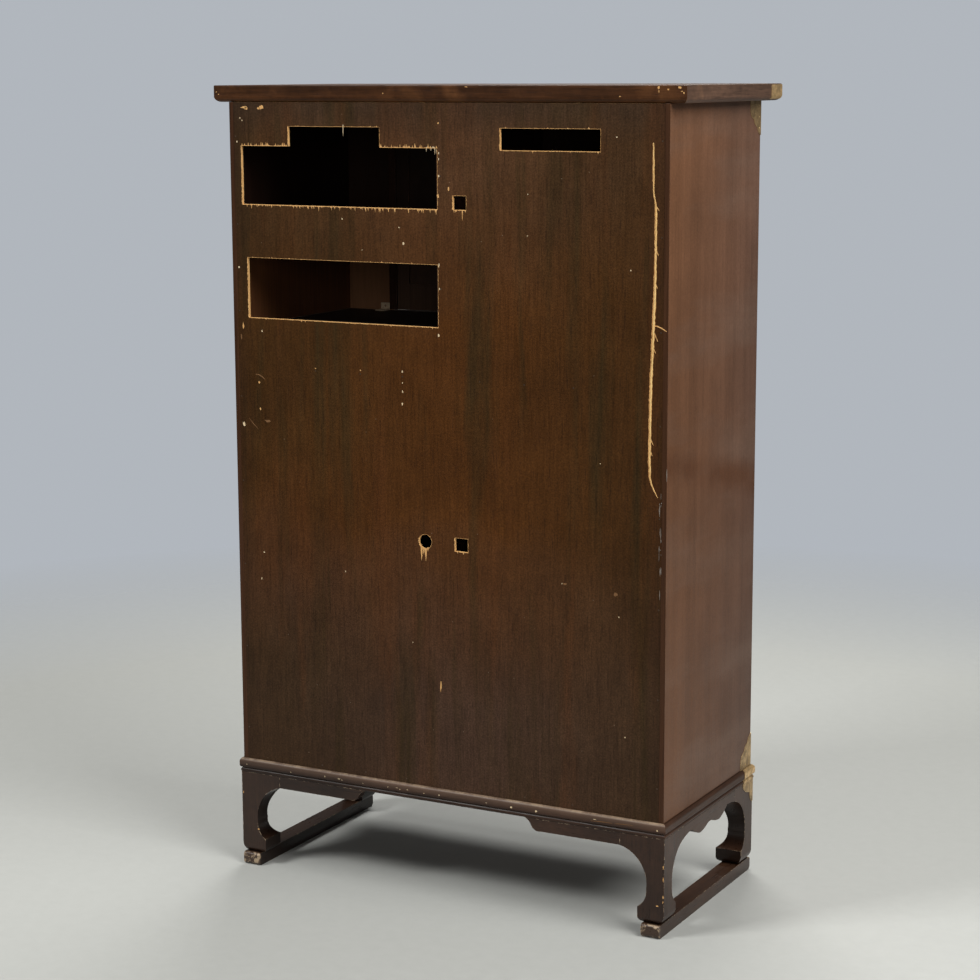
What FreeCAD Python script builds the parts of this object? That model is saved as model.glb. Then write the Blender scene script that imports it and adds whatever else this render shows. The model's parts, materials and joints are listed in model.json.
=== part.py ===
import FreeCAD, Part
import os
import re

import Sketcher
from FreeCAD import Placement, Rotation, Vector

# Driving dimensions in millimetres. The cabinet stands on the floor, z up, with its doors towards -y.
SIZES = {
    # whole cabinet
    "overall_height": 1580,
    "body_width": 938,
    "body_depth": 428,
    # top board and its lippings
    "top_thickness": 32,
    "top_side_overhang": 33,
    "top_front_overhang": 24,
    "top_back_overhang": 3,
    "lipping_width": 25,
    "lipping_round": 11,
    "lipping_ease": 2,
    # carcass
    "side_thickness": 18,
    "back_thickness": 5,
    "rebate_lip": 10,
    "divider_thickness": 18,
    "board_thickness": 18,
    "shelf_thickness": 15,
    "shelf_setback": 40,
    "upper_room": 438,
    "drawer_room": 52,
    "upper_shelf_drop": 248,
    "lower_shelf_rise": 18,
    # openings cut in the back
    "cut_edge": 4,
    "upper_cut_margin": 27,
    "upper_cut_drop": 84,
    "upper_cut_height": 113,
    "lower_cut_margin": 36.5,
    "lower_cut_rise": 19,
    "lower_cut_height": 118,
    "vent_offset": 129,
    "vent_width": 204,
    "vent_drop": 46,
    "vent_height": 40,
    "cable_offset": 43,
    "cable_width": 28,
    "cable_height": 26,
    "cable_rise": 64,
    "round_cable_offset": 36.5,
    "round_cable_diameter": 28,
    # panel pins of the back
    "pin_radius": 1.6,
    "pin_length": 18,
    "pin_proud": 0.3,
    "side_pin_margin": 66,
    "row_pin_near": 84,
    "row_pin_middle": 178,
    "row_pin_far": 280,
    "divider_pin_top": 37,
    "divider_pin_second": 135,
    "divider_pin_third": 346,
    "divider_pin_low": 206,
    # front
    "front_thickness": 18,
    "stile_width": 108,
    "stile_field_margin": 26,
    "stile_field_inner_margin": 49,
    "stile_field_end": 78,
    "stile_field_depth": 4,
    "top_rail_height": 28,
    "front_gap": 2,
    # doors
    "door_stile_width": 36,
    "door_rail_height": 55,
    "door_panel_thickness": 8,
    "groove_depth": 6,
    "groove_ease": 0.5,
    # hinges
    "hinge_half_height": 28,
    "hinge_leaf_width": 34,
    "hinge_leaf_notch": 7,
    "hinge_inset": 72,
    "leaf_thickness": 1.5,
    "barrel_radius": 4,
    "barrel_clear": 0.4,
    "hinge_pin_radius": 1.8,
    "hinge_fit": 0.05,
    "pin_head_radius": 2.8,
    "pin_head_height": 3,
    "pin_head_rim": 0.9,
    "pin_head_crown": 1.6,
    # pulls
    "lock_plate_radius": 33,
    "brass_thickness": 1,
    "eye_offset": 19,
    "eye_reach": 8,
    "eye_radius": 4.8,
    "eye_bore": 2.7,
    "eye_width": 4,
    "eye_neck": 5,
    "ring_radius": 14,
    "ring_wire": 2,
    "knob_radius": 9,
    "knob_reach": 19,
    "knob_neck": 4,
    "knob_flare": 1.2,
    "knob_neck_length": 7.5,
    "knob_belly": 12,
    "knob_bulge": 1.9,
    "knob_crown_radius": 5.4,
    "knob_crown_height": 1,
    # door catches and strikes
    "catch_width": 12,
    "catch_depth": 38,
    "catch_height": 30,
    "strike_width": 20,
    "strike_height": 24,
    "strike_thickness": 1,
    # angle brackets behind the stiles
    "bracket_foot": 26,
    "bracket_rise": 15,
    "bracket_width": 21,
    "bracket_thickness": 2,
    "bracket_hole": 2.5,
    "bracket_foot_hole": 15.5,
    "bracket_rise_hole": 8.5,
    "bracket_offset": 20,
    # drawers
    "drawer_side": 10,
    "drawer_bottom": 5,
    "drawer_bottom_rise": 4,
    "drawer_height": 40,
    "drawer_length": 300,
    "drawer_ease": 1,
    "drawer_side_inset": 4,
    "guide_width": 20,
    "guide_height": 22,
    # stand
    "stand_height": 224,
    "moulding_height": 29,
    "moulding_width": 32,
    "moulding_proud": 7,
    "bead_height": 7,
    "bead_setback": 3.5,
    "bead_swell": 1.5,
    "quirk_height": 1.7,
    "quirk_setback": 4.5,
    "crown_foot": 4.5,
    "crown_foot_swell": 1,
    "crown_setback": 5,
    "crown_drop": 8,
    "crown_swell": 1.35,
    "leg_proud": 4,
    "leg_reach": 92,
    "leg_thickness": 41,
    "ankle_width": 37,
    "ankle_rise": 66,
    "arch_drop": 24,
    "arch_bulge": 19,
    "hoof_width": 55,
    "hoof_rise": 30,
    "hoof_side_rise": 10,
    "hoof_sole": 44,
    "hoof_sole_bulge": 2.6,
    "hoof_bulge": 6,
    "heel_rise": 20,
    "heel_inset": 11,
    "heel_bulge": 2.9,
    "side_heel_rise": 11,
    "side_heel_inset": 7,
    "side_heel_bulge": 1.9,
    "apron_thickness": 24,
    "apron_peak_drop": 18,
    "apron_lobe_drop": 36.5,
    "apron_notch_drop": 27,
    "apron_middle": 8,
    "apron_peak_bulge": 1.2,
    "apron_lobe_bulge": 2.5,
    "apron_notch_bulge": 1.8,
    "spandrel_length": 168,
    "spandrel_lobe_run": 20,
    "spandrel_lobe_rise": 11,
    "spandrel_lobe_bulge": 4.5,
    "spandrel_hollow_run": 13,
    "spandrel_hollow": 1.5,
    "runner_height": 26,
    "runner_width": 38,
    "runner_inset": 6,
    "runner_overhang": 8,
    "runner_toe": 9,
    "runner_ease": 6,
    # brass on the front corners
    "corner_wing": 52,
    "corner_plate_height": 66,
    "corner_plate_end": 20,
    "scallop_bulge": 3,
    "leg_plate_height": 47,
    "leg_plate_end": 9.5,
    "leg_plate_taper": 3,
    "leg_plate_waist": 15.5,
    "leg_plate_waist_drop": 23.5,
    "leg_plate_tail": 5,
    "leg_plate_bulge": 4,
    "cap_lip": 3,
    # cutting shapes
    "cut_margin": 1,
    "through_cut": 400,
}

# Places worked out from the driving dimensions.
DERIVED = {
    "half_width": "body_width / 2",
    "centre_y": "(top_front_overhang + brass_thickness - leg_proud - runner_overhang) / 2",
    "front_y": "centre_y - body_depth / 2",
    "back_y": "centre_y + body_depth / 2",
    "inner_back_y": "back_y - back_thickness",
    "door_back_y": "front_y + front_thickness",
    "inner_x": "half_width - side_thickness",
    "panel_x": "half_width - rebate_lip",
    "opening_x": "inner_x - stile_width",
    "door_x": "opening_x - front_gap",
    "meeting_x": "front_gap / 2",
    "top_level": "overall_height - top_thickness",
    "floor_level": "stand_height + board_thickness",
    "tier_level": "top_level - upper_room",
    "drawer_level": "tier_level - board_thickness - drawer_room",
    "upper_shelf_level": "top_level - upper_shelf_drop",
    "lower_shelf_level": "(floor_level + drawer_level - board_thickness) / 2 + lower_shelf_rise",
    "rail_level": "top_level - top_rail_height",
    "hinge_x": "door_x + front_gap / 2",
    "hinge_y": "front_y - barrel_radius - barrel_clear",
    "eye_y": "front_y - brass_thickness - eye_reach",
    "stand_level": "stand_height - moulding_height",
    "leg_x": "half_width + leg_proud",
    "leg_front_y": "front_y - leg_proud",
    "leg_back_y": "back_y + leg_proud",
    "ankle_level": "runner_height + ankle_rise",
    "arch_level": "stand_level - arch_drop",
    "side_apron_half": "body_depth / 2 + leg_proud - leg_reach",
    "front_apron_half": "leg_x - leg_reach",
    "apron_run": "(side_apron_half - apron_middle) / 3",
    "drawer_near_x": "divider_thickness / 2 + drawer_ease",
    "drawer_far_x": "door_x - drawer_side_inset",
    "guide_x": "drawer_far_x + drawer_ease",
}

LEFT, RIGHT = -1, 1
FRONT, BACK = -1, 1
SIDES = {"left": LEFT, "right": RIGHT}
SIDE_PINS = 8

doc = FreeCAD.newDocument("storage_cabinet")
sheet = doc.addObject("Spreadsheet::Sheet", "Sizes")
for row, (alias, size) in enumerate(SIZES.items(), start=1):
    sheet.set(f"A{row}", alias)
    sheet.set(f"B{row}", str(size))
    sheet.setAlias(f"B{row}", alias)
doc.recompute()

nodes = []


def bound(text):
    """The expression with each name led back to its cell in the sheet."""
    def cell(match):
        name = match.group(0)
        if name in DERIVED:
            return "(" + bound(DERIVED[name]) + ")"
        return "Sizes." + name if name in SIZES else name
    return re.sub(r"[a-z_]+", cell, str(text))


def value(text):
    """The expression's value in millimetres."""
    return float(sheet.evalExpression(bound(text)))


def bind(item, prop, text):
    item.setExpression(prop, bound(text))


def place(item, x, y, z, turn=0):
    """Puts an item at a point, turned about the upright axis."""
    item.Placement = Placement(Vector(), Rotation(Vector(0, 0, 1), turn))
    for axis, text in zip("xyz", (x, y, z)):
        bind(item, f"Placement.Base.{axis}", text)
    return item


def node(item, name):
    """Marks an item as a piece of its own, written to a file of that name."""
    item.Label = name
    nodes.append(item)
    return item


def group(name, items):
    """Several solids that make one piece or one set of like pieces."""
    item = doc.addObject("Part::Compound", name)
    item.Links = items
    return node(item, name)


def span(sign, near, far):
    """Low and high limits of a stretch that lies on one side of the middle."""
    return (near, far) if sign > 0 else (f"-({far})", f"-({near})")


def board(name, x, y, z):
    """A plain board between two limits along each axis."""
    item = doc.addObject("Part::Box", name)
    for prop, (low, high) in zip(("Length", "Width", "Height"), (x, y, z)):
        bind(item, prop, f"({high}) - ({low})")
    return place(item, x[0], y[0], z[0])


def new_body(name):
    return doc.addObject("PartDesign::Body", name)


def sketch_on(body, role, lift="0"):
    """A sketch on one of the body's own planes, lifted along the plane's normal."""
    sketch = body.newObject("Sketcher::SketchObject", f"{body.Name}_sketch")
    plane = next(f for f in body.Origin.OriginFeatures if f.Role == role)
    sketch.AttachmentSupport = [(plane, "")]
    sketch.MapMode = "FlatFace"
    bind(sketch, "AttachmentOffset.Base.z", lift)
    return sketch


def fix_point(sketch, index, end, x, y):
    """Ties a point of the sketch to its place."""
    for kind, text in (("DistanceX", x), ("DistanceY", y)):
        tie = sketch.addConstraint(Sketcher.Constraint(kind, -1, 1, index, end, value(text)))
        bind(sketch, f"Constraints[{tie}]", text)


def loop(sketch, points):
    """A closed outline. A point is x, y and, where the next stretch is an arc, its bulge to the left."""
    first = sketch.GeometryCount
    ends = []
    for here, after in zip(points, points[1:] + points[:1]):
        start = Vector(value(here[0]), value(here[1]), 0)
        end = Vector(value(after[0]), value(after[1]), 0)
        ends.append((1, 2))
        if len(here) == 2:
            sketch.addGeometry(Part.LineSegment(start, end), False)
            continue
        bulge = value(here[2])
        across = end - start
        middle = (start + end) / 2 + Vector(-across.y, across.x, 0).normalize() * bulge
        if bulge > 0:
            start, end = end, start
            ends[-1] = (2, 1)
        sketch.addGeometry(Part.Arc(start, middle, end), False)
    for step, (here, after) in enumerate(zip(points, points[1:] + points[:1])):
        index = first + step
        before = (step - 1) % len(points)
        sketch.addConstraint(
            Sketcher.Constraint("Coincident", first + before, ends[before][1], index, ends[step][0]))
        fix_point(sketch, index, ends[step][0], here[0], here[1])
        if len(here) == 3:
            chord = f"((({after[0]}) - ({here[0]}))^2 + (({after[1]}) - ({here[1]}))^2)"
            radius = f"({chord} / 4 + ({here[2]})^2) / (2 * abs({here[2]}))"
            tie = sketch.addConstraint(Sketcher.Constraint("Radius", index, value(radius)))
            bind(sketch, f"Constraints[{tie}]", radius)


def track(sketch, points):
    """An open path of straight runs."""
    for step, (here, after) in enumerate(zip(points, points[1:])):
        start, end = (Vector(value(p[0]), value(p[1]), 0) for p in (here, after))
        index = sketch.addGeometry(Part.LineSegment(start, end), False)
        fix_point(sketch, index, 1, *here)
        if step:
            sketch.addConstraint(Sketcher.Constraint("Coincident", index - 1, 2, index, 1))
    fix_point(sketch, index, 2, *points[-1])


def circle(sketch, x, y, radius):
    centre = Vector(value(x), value(y), 0)
    index = sketch.addGeometry(Part.Circle(centre, Vector(0, 0, 1), value(radius)), False)
    fix_point(sketch, index, 3, x, y)
    tie = sketch.addConstraint(Sketcher.Constraint("Radius", index, value(radius)))
    bind(sketch, f"Constraints[{tie}]", radius)


def facing(sign, points):
    """The outline as it is, or mirrored left to right."""
    if sign > 0:
        return points
    return [(f"-({p[0]})", p[1]) + tuple(f"-({bulge})" for bulge in p[2:]) for p in points]


def upside(sign, points):
    """The outline as it is, or mirrored top to bottom."""
    if sign > 0:
        return points
    return [(p[0], f"-({p[1]})") + tuple(f"-({bulge})" for bulge in p[2:]) for p in points]


def rectangle(x, y):
    return [(x[0], y[0]), (x[1], y[0]), (x[1], y[1]), (x[0], y[1])]


def extrude(kind, body, sketch, length, reverse=False, both=False):
    """A pad or a pocket of the given length, to one side of its sketch or to both."""
    feature = body.newObject(f"PartDesign::{kind}", f"{body.Name}_{kind.lower()}")
    feature.Profile = sketch
    bind(feature, "Length", length)
    feature.Reversed = reverse
    feature.SideType = "Symmetric" if both else "One side"
    body.Tip = feature
    return feature


def slab(name, role, outline, thickness, reverse=False, both=False):
    """A body made of one outline and its thickness."""
    body = new_body(name)
    sketch = sketch_on(body, role)
    loop(sketch, outline)
    extrude("Pad", body, sketch, thickness, reverse, both)
    return body


def mitred_run(name, section, length, depth, turn, x, y, z):
    """A moulding run along its own x, face towards -y, cut at 45 degrees at both ends."""
    run = slab(name, "YZ_Plane", facing(-1, section), length, both=True)
    cut = sketch_on(run, "XY_Plane")
    for sign in (LEFT, RIGHT):
        loop(cut, facing(sign, [
            (f"({length}) / 2", f"-({depth})"),
            (f"({length}) / 2 + cut_margin", f"-({depth})"),
            (f"({length}) / 2 + cut_margin", "cut_margin"),
            (f"({length}) / 2 - ({depth}) - cut_margin", "cut_margin"),
        ]))
    extrude("Pocket", run, cut, "through_cut", both=True)
    return node(place(run, x, y, z, turn), name)


def mitred_frame(prefix, section, depth, half_x, low_y, high_y, z):
    """Four mitred runs round a rectangle given by its outer edges."""
    middle_y = f"(({low_y}) + ({high_y})) / 2"
    length_x = f"2 * ({half_x})"
    length_y = f"({high_y}) - ({low_y})"
    mitred_run(f"{prefix}_front", section, length_x, depth, 0, "0", f"({low_y}) + ({depth})", z)
    mitred_run(f"{prefix}_right", section, length_y, depth, 90, f"({half_x}) - ({depth})", middle_y, z)
    mitred_run(f"{prefix}_back", section, length_x, depth, 180, "0", f"({high_y}) - ({depth})", z)
    mitred_run(f"{prefix}_left", section, length_y, depth, 270, f"-({half_x}) + ({depth})", middle_y, z)


# The bulge of a quarter circle as a share of its radius.
QUARTER = 1 - 0.5 ** 0.5

# The top board's edge: upright above, rounded below. Distances run outwards from the lipping's inner edge.
TOP_SECTION = [
    ("0", "0"),
    ("lipping_width - lipping_round", "0", f"-{QUARTER} * lipping_round"),
    ("lipping_width", "lipping_round"),
    ("lipping_width", "top_thickness - lipping_ease", f"-{QUARTER} * lipping_ease"),
    ("lipping_width - lipping_ease", "top_thickness"),
    ("0", "top_thickness"),
]
CAP_INSET = "lipping_round - (lipping_round^2 - (lipping_round - cap_lip)^2)^0.5"
CAP_CHORD = f"(({CAP_INSET})^2 + (lipping_round - cap_lip)^2)"
TOP_CAP = [
    (f"lipping_width - ({CAP_INSET})", "cap_lip",
     f"-(lipping_round - (lipping_round^2 - {CAP_CHORD} / 4)^0.5)"),
    ("lipping_width", "lipping_round"),
    ("lipping_width", "top_thickness - lipping_ease"),
]

# The base moulding's face: a small bead below, a quirk, and a flat crown with rounded edges above.
BASE_FACE = [
    ("moulding_width - bead_setback", "0", "-bead_swell"),
    ("moulding_width - bead_setback", "bead_height"),
    ("moulding_width - quirk_setback", "bead_height + quirk_height", "-crown_foot_swell"),
    ("moulding_width", "bead_height + quirk_height + crown_foot"),
    ("moulding_width", "moulding_height - crown_drop", "-crown_swell"),
    ("moulding_width - crown_setback", "moulding_height"),
]
BASE_SECTION = [("0", "0")] + BASE_FACE + [("0", "moulding_height")]


def top():
    """The top board inside its four lippings."""
    half_x = "half_width + top_side_overhang"
    low_y = "front_y - top_front_overhang"
    high_y = "back_y + top_back_overhang"
    core = board(
        "top_board", (f"-({half_x} - lipping_width)", f"{half_x} - lipping_width"),
        (f"{low_y} + lipping_width", f"{high_y} - lipping_width"), ("top_level", "overall_height"))
    node(core, "top_board")
    mitred_frame("top_lipping", TOP_SECTION, "lipping_width", half_x, low_y, high_y, "top_level")


def side_panels():
    """Side panels with a rebate behind for the back panel."""
    for side, sign in SIDES.items():
        outline = [
            ("inner_x", "front_y"), ("half_width", "front_y"), ("half_width", "back_y"),
            ("panel_x", "back_y"), ("panel_x", "inner_back_y"), ("inner_x", "inner_back_y"),
        ]
        name = f"side_panel_{side}"
        panel = slab(name, "XY_Plane", facing(sign, outline), "top_level - stand_height")
        node(place(panel, "0", "0", "stand_height"), name)


def back_panel():
    """Thin back panel with the openings that were cut for equipment, air and cables."""
    panel = slab("back_panel", "XZ_Plane",
                 rectangle(("-(panel_x)", "panel_x"), ("stand_height", "top_level")), "back_thickness")
    cuts = sketch_on(panel, "XZ_Plane")
    cut_far = "half_width - upper_cut_margin"
    cut_top = "top_level - upper_cut_drop"
    cut_low = "top_level - upper_cut_drop - upper_cut_height"
    vent_far = "vent_offset + vent_width"
    vent_top = "top_level - vent_drop"
    loop(cuts, [
        ("cut_edge", cut_low), (cut_far, cut_low), (cut_far, cut_top), (vent_far, cut_top),
        (vent_far, vent_top), ("vent_offset", vent_top), ("vent_offset", cut_top), ("cut_edge", cut_top),
    ])
    loop(cuts, rectangle(("cut_edge", "half_width - lower_cut_margin"),
                         ("tier_level + lower_cut_rise", "tier_level + lower_cut_rise + lower_cut_height")))
    loop(cuts, rectangle((f"-({vent_far})", "-vent_offset"), (f"{vent_top} - vent_height", vent_top)))
    for level in ("upper_shelf_level", "lower_shelf_level"):
        middle = f"{level} + cable_rise"
        loop(cuts, rectangle(("-cable_offset - cable_width / 2", "-cable_offset + cable_width / 2"),
                             (f"{middle} - cable_height / 2", f"{middle} + cable_height / 2")))
    circle(cuts, "round_cable_offset", "lower_shelf_level + cable_rise", "round_cable_diameter / 2")
    extrude("Pocket", panel, cuts, "through_cut", both=True)
    node(place(panel, "0", "back_y", "0"), "back_panel")


def back_pins():
    """Panel pins that hold the back to the sides, the divider and the boards."""
    spots = []
    step = f"(top_level - stand_height - 2 * side_pin_margin) / {SIDE_PINS - 1}"
    for sign in (LEFT, RIGHT):
        for count in range(SIDE_PINS):
            spots.append((f"{sign} * (inner_x + panel_x) / 2",
                          f"stand_height + side_pin_margin + {count} * {step}"))
        for across in ("row_pin_near", "row_pin_middle", "row_pin_far"):
            spots.append((f"{sign} * {across}", "drawer_level - board_thickness / 2"))
            spots.append((f"{sign} * {across}", "stand_height + board_thickness / 2"))
    for drop in ("divider_pin_top", "divider_pin_second", "divider_pin_third"):
        spots.append(("-cut_edge / 2", f"top_level - {drop}"))
    spots.append(("-cut_edge / 2", "stand_height + divider_pin_low"))
    pins = []
    for x, z in spots:
        pin = doc.addObject("Part::Cylinder", "back_pin")
        bind(pin, "Radius", "pin_radius")
        bind(pin, "Height", "pin_length")
        place(pin, x, "back_y + pin_proud", z)
        pin.Placement.Rotation = Rotation(Vector(1, 0, 0), 90)
        pins.append(pin)
    group("back_pins", pins)


def carcass_boards():
    """Bottom board, the two boards that cross the divider, the divider and the shelves."""
    node(board("bottom_board", ("-(inner_x)", "inner_x"), ("front_y", "inner_back_y"),
               ("stand_height", "floor_level")), "bottom_board")
    halfway = "(door_back_y + inner_back_y) / 2"
    half_slot = "divider_thickness / 2"
    for name, level in (("tier_board", "tier_level"), ("drawer_board", "drawer_level")):
        right_edge = [
            ("opening_x", "front_y"), ("opening_x", "door_back_y"), ("inner_x", "door_back_y"),
            ("inner_x", "inner_back_y"), (half_slot, "inner_back_y"), (half_slot, halfway),
        ]
        left_edge = [(f"-({x})", y) for x, y in reversed(right_edge)]
        crossing = slab(name, "XY_Plane", right_edge + left_edge, "board_thickness")
        node(place(crossing, "0", "0", f"{level} - board_thickness"), name)
    divider = slab("centre_divider", "YZ_Plane", [
        ("door_back_y", "floor_level"), ("inner_back_y", "floor_level"), ("inner_back_y", "top_level"),
        ("door_back_y", "top_level"), ("door_back_y", "tier_level"), (halfway, "tier_level"),
        (halfway, "tier_level - board_thickness"), ("door_back_y", "tier_level - board_thickness"),
        ("door_back_y", "drawer_level"), (halfway, "drawer_level"),
        (halfway, "drawer_level - board_thickness"), ("door_back_y", "drawer_level - board_thickness"),
    ], "divider_thickness", both=True)
    node(divider, "centre_divider")
    for floor in ("upper", "lower"):
        level = f"{floor}_shelf_level"
        group(f"{floor}_shelves", [
            board(f"{floor}_shelf_{side}", span(sign, half_slot, "inner_x"),
                  ("door_back_y + shelf_setback", "inner_back_y"), (f"{level} - shelf_thickness", level))
            for side, sign in SIDES.items()
        ])


def front_frame():
    """Wide fixed stiles with sunk fields, and the rail above the doors."""
    for side, sign in SIDES.items():
        name = f"front_stile_{side}"
        stile = slab(name, "XZ_Plane",
                     rectangle(span(sign, "opening_x", "inner_x"), ("floor_level", "top_level")),
                     "front_thickness")
        fields = sketch_on(stile, "XZ_Plane", "front_thickness")
        across = span(sign, "opening_x + stile_field_inner_margin", "inner_x - stile_field_margin")
        for low, high in (("floor_level", "drawer_level - board_thickness"), ("tier_level", "rail_level")):
            loop(fields, rectangle(across, (f"{low} + stile_field_end", f"{high} - stile_field_end")))
        extrude("Pocket", stile, fields, "stile_field_depth")
        node(place(stile, "0", "door_back_y", "0"), name)
    node(board("front_top_rail", ("-(opening_x)", "opening_x"), ("front_y", "door_back_y"),
               ("rail_level", "top_level")), "front_top_rail")


def hinge_leaf(name, sign, inner_knuckle):
    """A swallow-tailed leaf with its knuckles: the middle one or the two outer ones. Its axis is upright."""
    third = "hinge_half_height / 3"
    clear = "barrel_radius + barrel_clear"
    tail = [("hinge_leaf_width", "-hinge_half_height"), ("hinge_leaf_width - hinge_leaf_notch", "0"),
            ("hinge_leaf_width", "hinge_half_height")]
    if inner_knuckle:
        low, high = f"-({third}) + barrel_clear / 2", f"{third} - barrel_clear / 2"
        outline = ([("0", low), (clear, low), (clear, "-hinge_half_height")] + tail
                   + [(clear, "hinge_half_height"), (clear, high), ("0", high)])
        knuckles = [(low, high)]
    else:
        low, high = f"-({third}) - barrel_clear / 2", f"{third} + barrel_clear / 2"
        outline = ([("0", "-hinge_half_height")] + tail + [("0", "hinge_half_height")]
                   + [("0", high), (clear, high), (clear, low), ("0", low)])
        knuckles = [("-hinge_half_height", low), (high, "hinge_half_height")]
    leaf = new_body(name)
    for low, high in knuckles:
        ring = sketch_on(leaf, "XY_Plane", low)
        circle(ring, "0", "0", "barrel_radius")
        extrude("Pad", leaf, ring, f"({high}) - ({low})")
    plate = sketch_on(leaf, "XZ_Plane", "-(barrel_radius + barrel_clear)")
    loop(plate, facing(sign, outline))
    extrude("Pad", leaf, plate, "leaf_thickness")
    bore = sketch_on(leaf, "XY_Plane")
    circle(bore, "0", "0", "hinge_pin_radius + hinge_fit")
    extrude("Pocket", leaf, bore, "through_cut", both=True)
    return leaf


def hinge_pin(name):
    """A pin with a bevelled head at each end."""
    pin = new_body(name)
    half = sketch_on(pin, "XZ_Plane")
    end = "hinge_half_height + pin_head_height"
    rim = "hinge_half_height + pin_head_rim"
    loop(half, [
        ("0", f"-({end})"), ("pin_head_crown", f"-({end})"), ("pin_head_radius", f"-({rim})"),
        ("pin_head_radius", "-hinge_half_height"), ("hinge_pin_radius", "-hinge_half_height"),
        ("hinge_pin_radius", "hinge_half_height"), ("pin_head_radius", "hinge_half_height"),
        ("pin_head_radius", rim), ("pin_head_crown", end), ("0", end),
    ])
    turned = pin.newObject("PartDesign::Revolution", f"{name}_turned")
    turned.Profile = half
    turned.ReferenceAxis = (half, ["V_Axis"])
    turned.Angle = 360
    pin.Tip = turned
    return pin


def door_frame(name, sign, low, high):
    """Two grooved stiles and two grooved rails."""
    front_cheek = "(front_thickness - door_panel_thickness) / 2"
    back_cheek = "(front_thickness + door_panel_thickness) / 2"
    sticks = []
    inner_x = {"hinge": "door_x - door_stile_width", "meeting": "meeting_x + door_stile_width"}
    outer_x = {"hinge": "door_x", "meeting": "meeting_x"}
    for stick, toward_panel in (("hinge", -1), ("meeting", 1)):
        inner, outer = inner_x[stick], outer_x[stick]
        seat = f"{inner} - {toward_panel} * groove_depth"
        section = [
            (outer, "front_y"), (inner, "front_y"), (inner, f"front_y + {front_cheek}"),
            (seat, f"front_y + {front_cheek}"), (seat, f"front_y + {back_cheek}"),
            (inner, f"front_y + {back_cheek}"), (inner, "door_back_y"), (outer, "door_back_y"),
        ]
        stile = slab(f"{name}_{stick}_stile", "XY_Plane", facing(sign, section), f"({high}) - ({low})")
        sticks.append(place(stile, "0", "0", low))
    across = span(sign, inner_x["meeting"], inner_x["hinge"])
    for edge, upward in ((low, 1), (high, -1)):
        face = f"{upward} * door_rail_height"
        seat = f"{upward} * (door_rail_height - groove_depth)"
        section = [
            ("front_y", "0"), ("front_y", face), (f"front_y + {front_cheek}", face),
            (f"front_y + {front_cheek}", seat), (f"front_y + {back_cheek}", seat),
            (f"front_y + {back_cheek}", face), ("door_back_y", face), ("door_back_y", "0"),
        ]
        rail = slab(f"{name}_rail", "YZ_Plane", section, f"({across[1]}) - ({across[0]})")
        sticks.append(place(rail, across[0], "0", edge))
    group(f"{name}_frame", sticks)
    sunk = "groove_depth - groove_ease"
    panel = board(
        f"{name}_panel", span(sign, f"{inner_x['meeting']} - ({sunk})", f"{inner_x['hinge']} + ({sunk})"),
        (f"front_y + {front_cheek}", f"front_y + {back_cheek}"),
        (f"({low}) + door_rail_height - ({sunk})", f"({high}) - door_rail_height + ({sunk})"))
    node(panel, f"{name}_panel")


def lock_plate(name, sign):
    """A half-round plate at the meeting edge with an eye for the ring. Its origin is on the door's face."""
    edge = "meeting_x + front_gap"
    quarter = f"-{QUARTER} * lock_plate_radius"
    plate = slab(name, "XZ_Plane", facing(sign, [
        (edge, "-lock_plate_radius", quarter), (f"{edge} + lock_plate_radius", "0", quarter),
        (edge, "lock_plate_radius"),
    ]), "brass_thickness")
    eye = sketch_on(plate, "YZ_Plane", f"{sign} * eye_offset - eye_width / 2")
    reach = "brass_thickness + eye_reach"
    flank = "(eye_radius^2 - (eye_neck / 2)^2)^0.5"
    loop(eye, [
        ("-brass_thickness / 2", "-eye_neck / 2"),
        ("-brass_thickness / 2", "eye_neck / 2"),
        (f"-({reach}) + {flank}", "eye_neck / 2", f"-(eye_radius + {flank})"),
        (f"-({reach}) + {flank}", "-eye_neck / 2"),
    ])
    circle(eye, f"-({reach})", "0", "eye_bore")
    extrude("Pad", plate, eye, "eye_width")
    return plate


def door(name, sign, low, high, post_leaves, pins):
    """A framed door with its hinge leaves, plate, strike and ring pull."""
    door_frame(name, sign, low, high)
    middle = f"(({low}) + ({high})) / 2"
    fittings = [place(lock_plate(f"{name}_plate", sign), "0", "front_y", middle)]
    for level in (f"({low}) + hinge_inset", f"({high}) - hinge_inset"):
        at = (f"{sign} * (hinge_x)", "hinge_y", level)
        fittings.append(place(hinge_leaf(f"{name}_leaf", -sign, True), *at))
        post_leaves.append(place(hinge_leaf(f"{name}_post_leaf", sign, False), *at))
        pins.append(place(hinge_pin(f"{name}_pin"), *at))
    near = "divider_thickness / 2"
    fittings.append(board(
        f"{name}_strike", span(sign, near, f"{near} + strike_width"),
        ("door_back_y", "door_back_y + strike_thickness"),
        (f"{middle} - strike_height / 2", f"{middle} + strike_height / 2")))
    group(f"{name}_fittings", fittings)
    ring = doc.addObject("Part::Torus", f"{name}_ring")
    bind(ring, "Radius1", "ring_radius")
    bind(ring, "Radius2", "ring_wire")
    place(ring, f"{sign} * eye_offset", "eye_y", f"{middle} - ring_radius")
    ring.Placement.Rotation = Rotation(Vector(1, 0, 0), 90)
    node(ring, f"{name}_ring")
    return board(
        f"{name}_catch", span(sign, near, f"{near} + catch_width"),
        ("door_back_y + strike_thickness", "door_back_y + strike_thickness + catch_depth"),
        (f"{middle} - catch_height / 2", f"{middle} + catch_height / 2"))


def doors():
    """The four doors, with the hinge leaves and catches that stay on the cabinet."""
    post_leaves, pins, catches = [], [], []
    rooms = {
        "upper": ("tier_level", "rail_level"),
        "lower": ("floor_level", "drawer_level - board_thickness"),
    }
    for floor, (low, high) in rooms.items():
        for side, sign in SIDES.items():
            catches.append(door(f"{floor}_{side}_door", sign, f"{low} + front_gap", f"{high} - front_gap",
                                post_leaves, pins))
    group("hinge_leaves_and_pins", post_leaves + pins)
    group("door_catches", catches)


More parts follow.
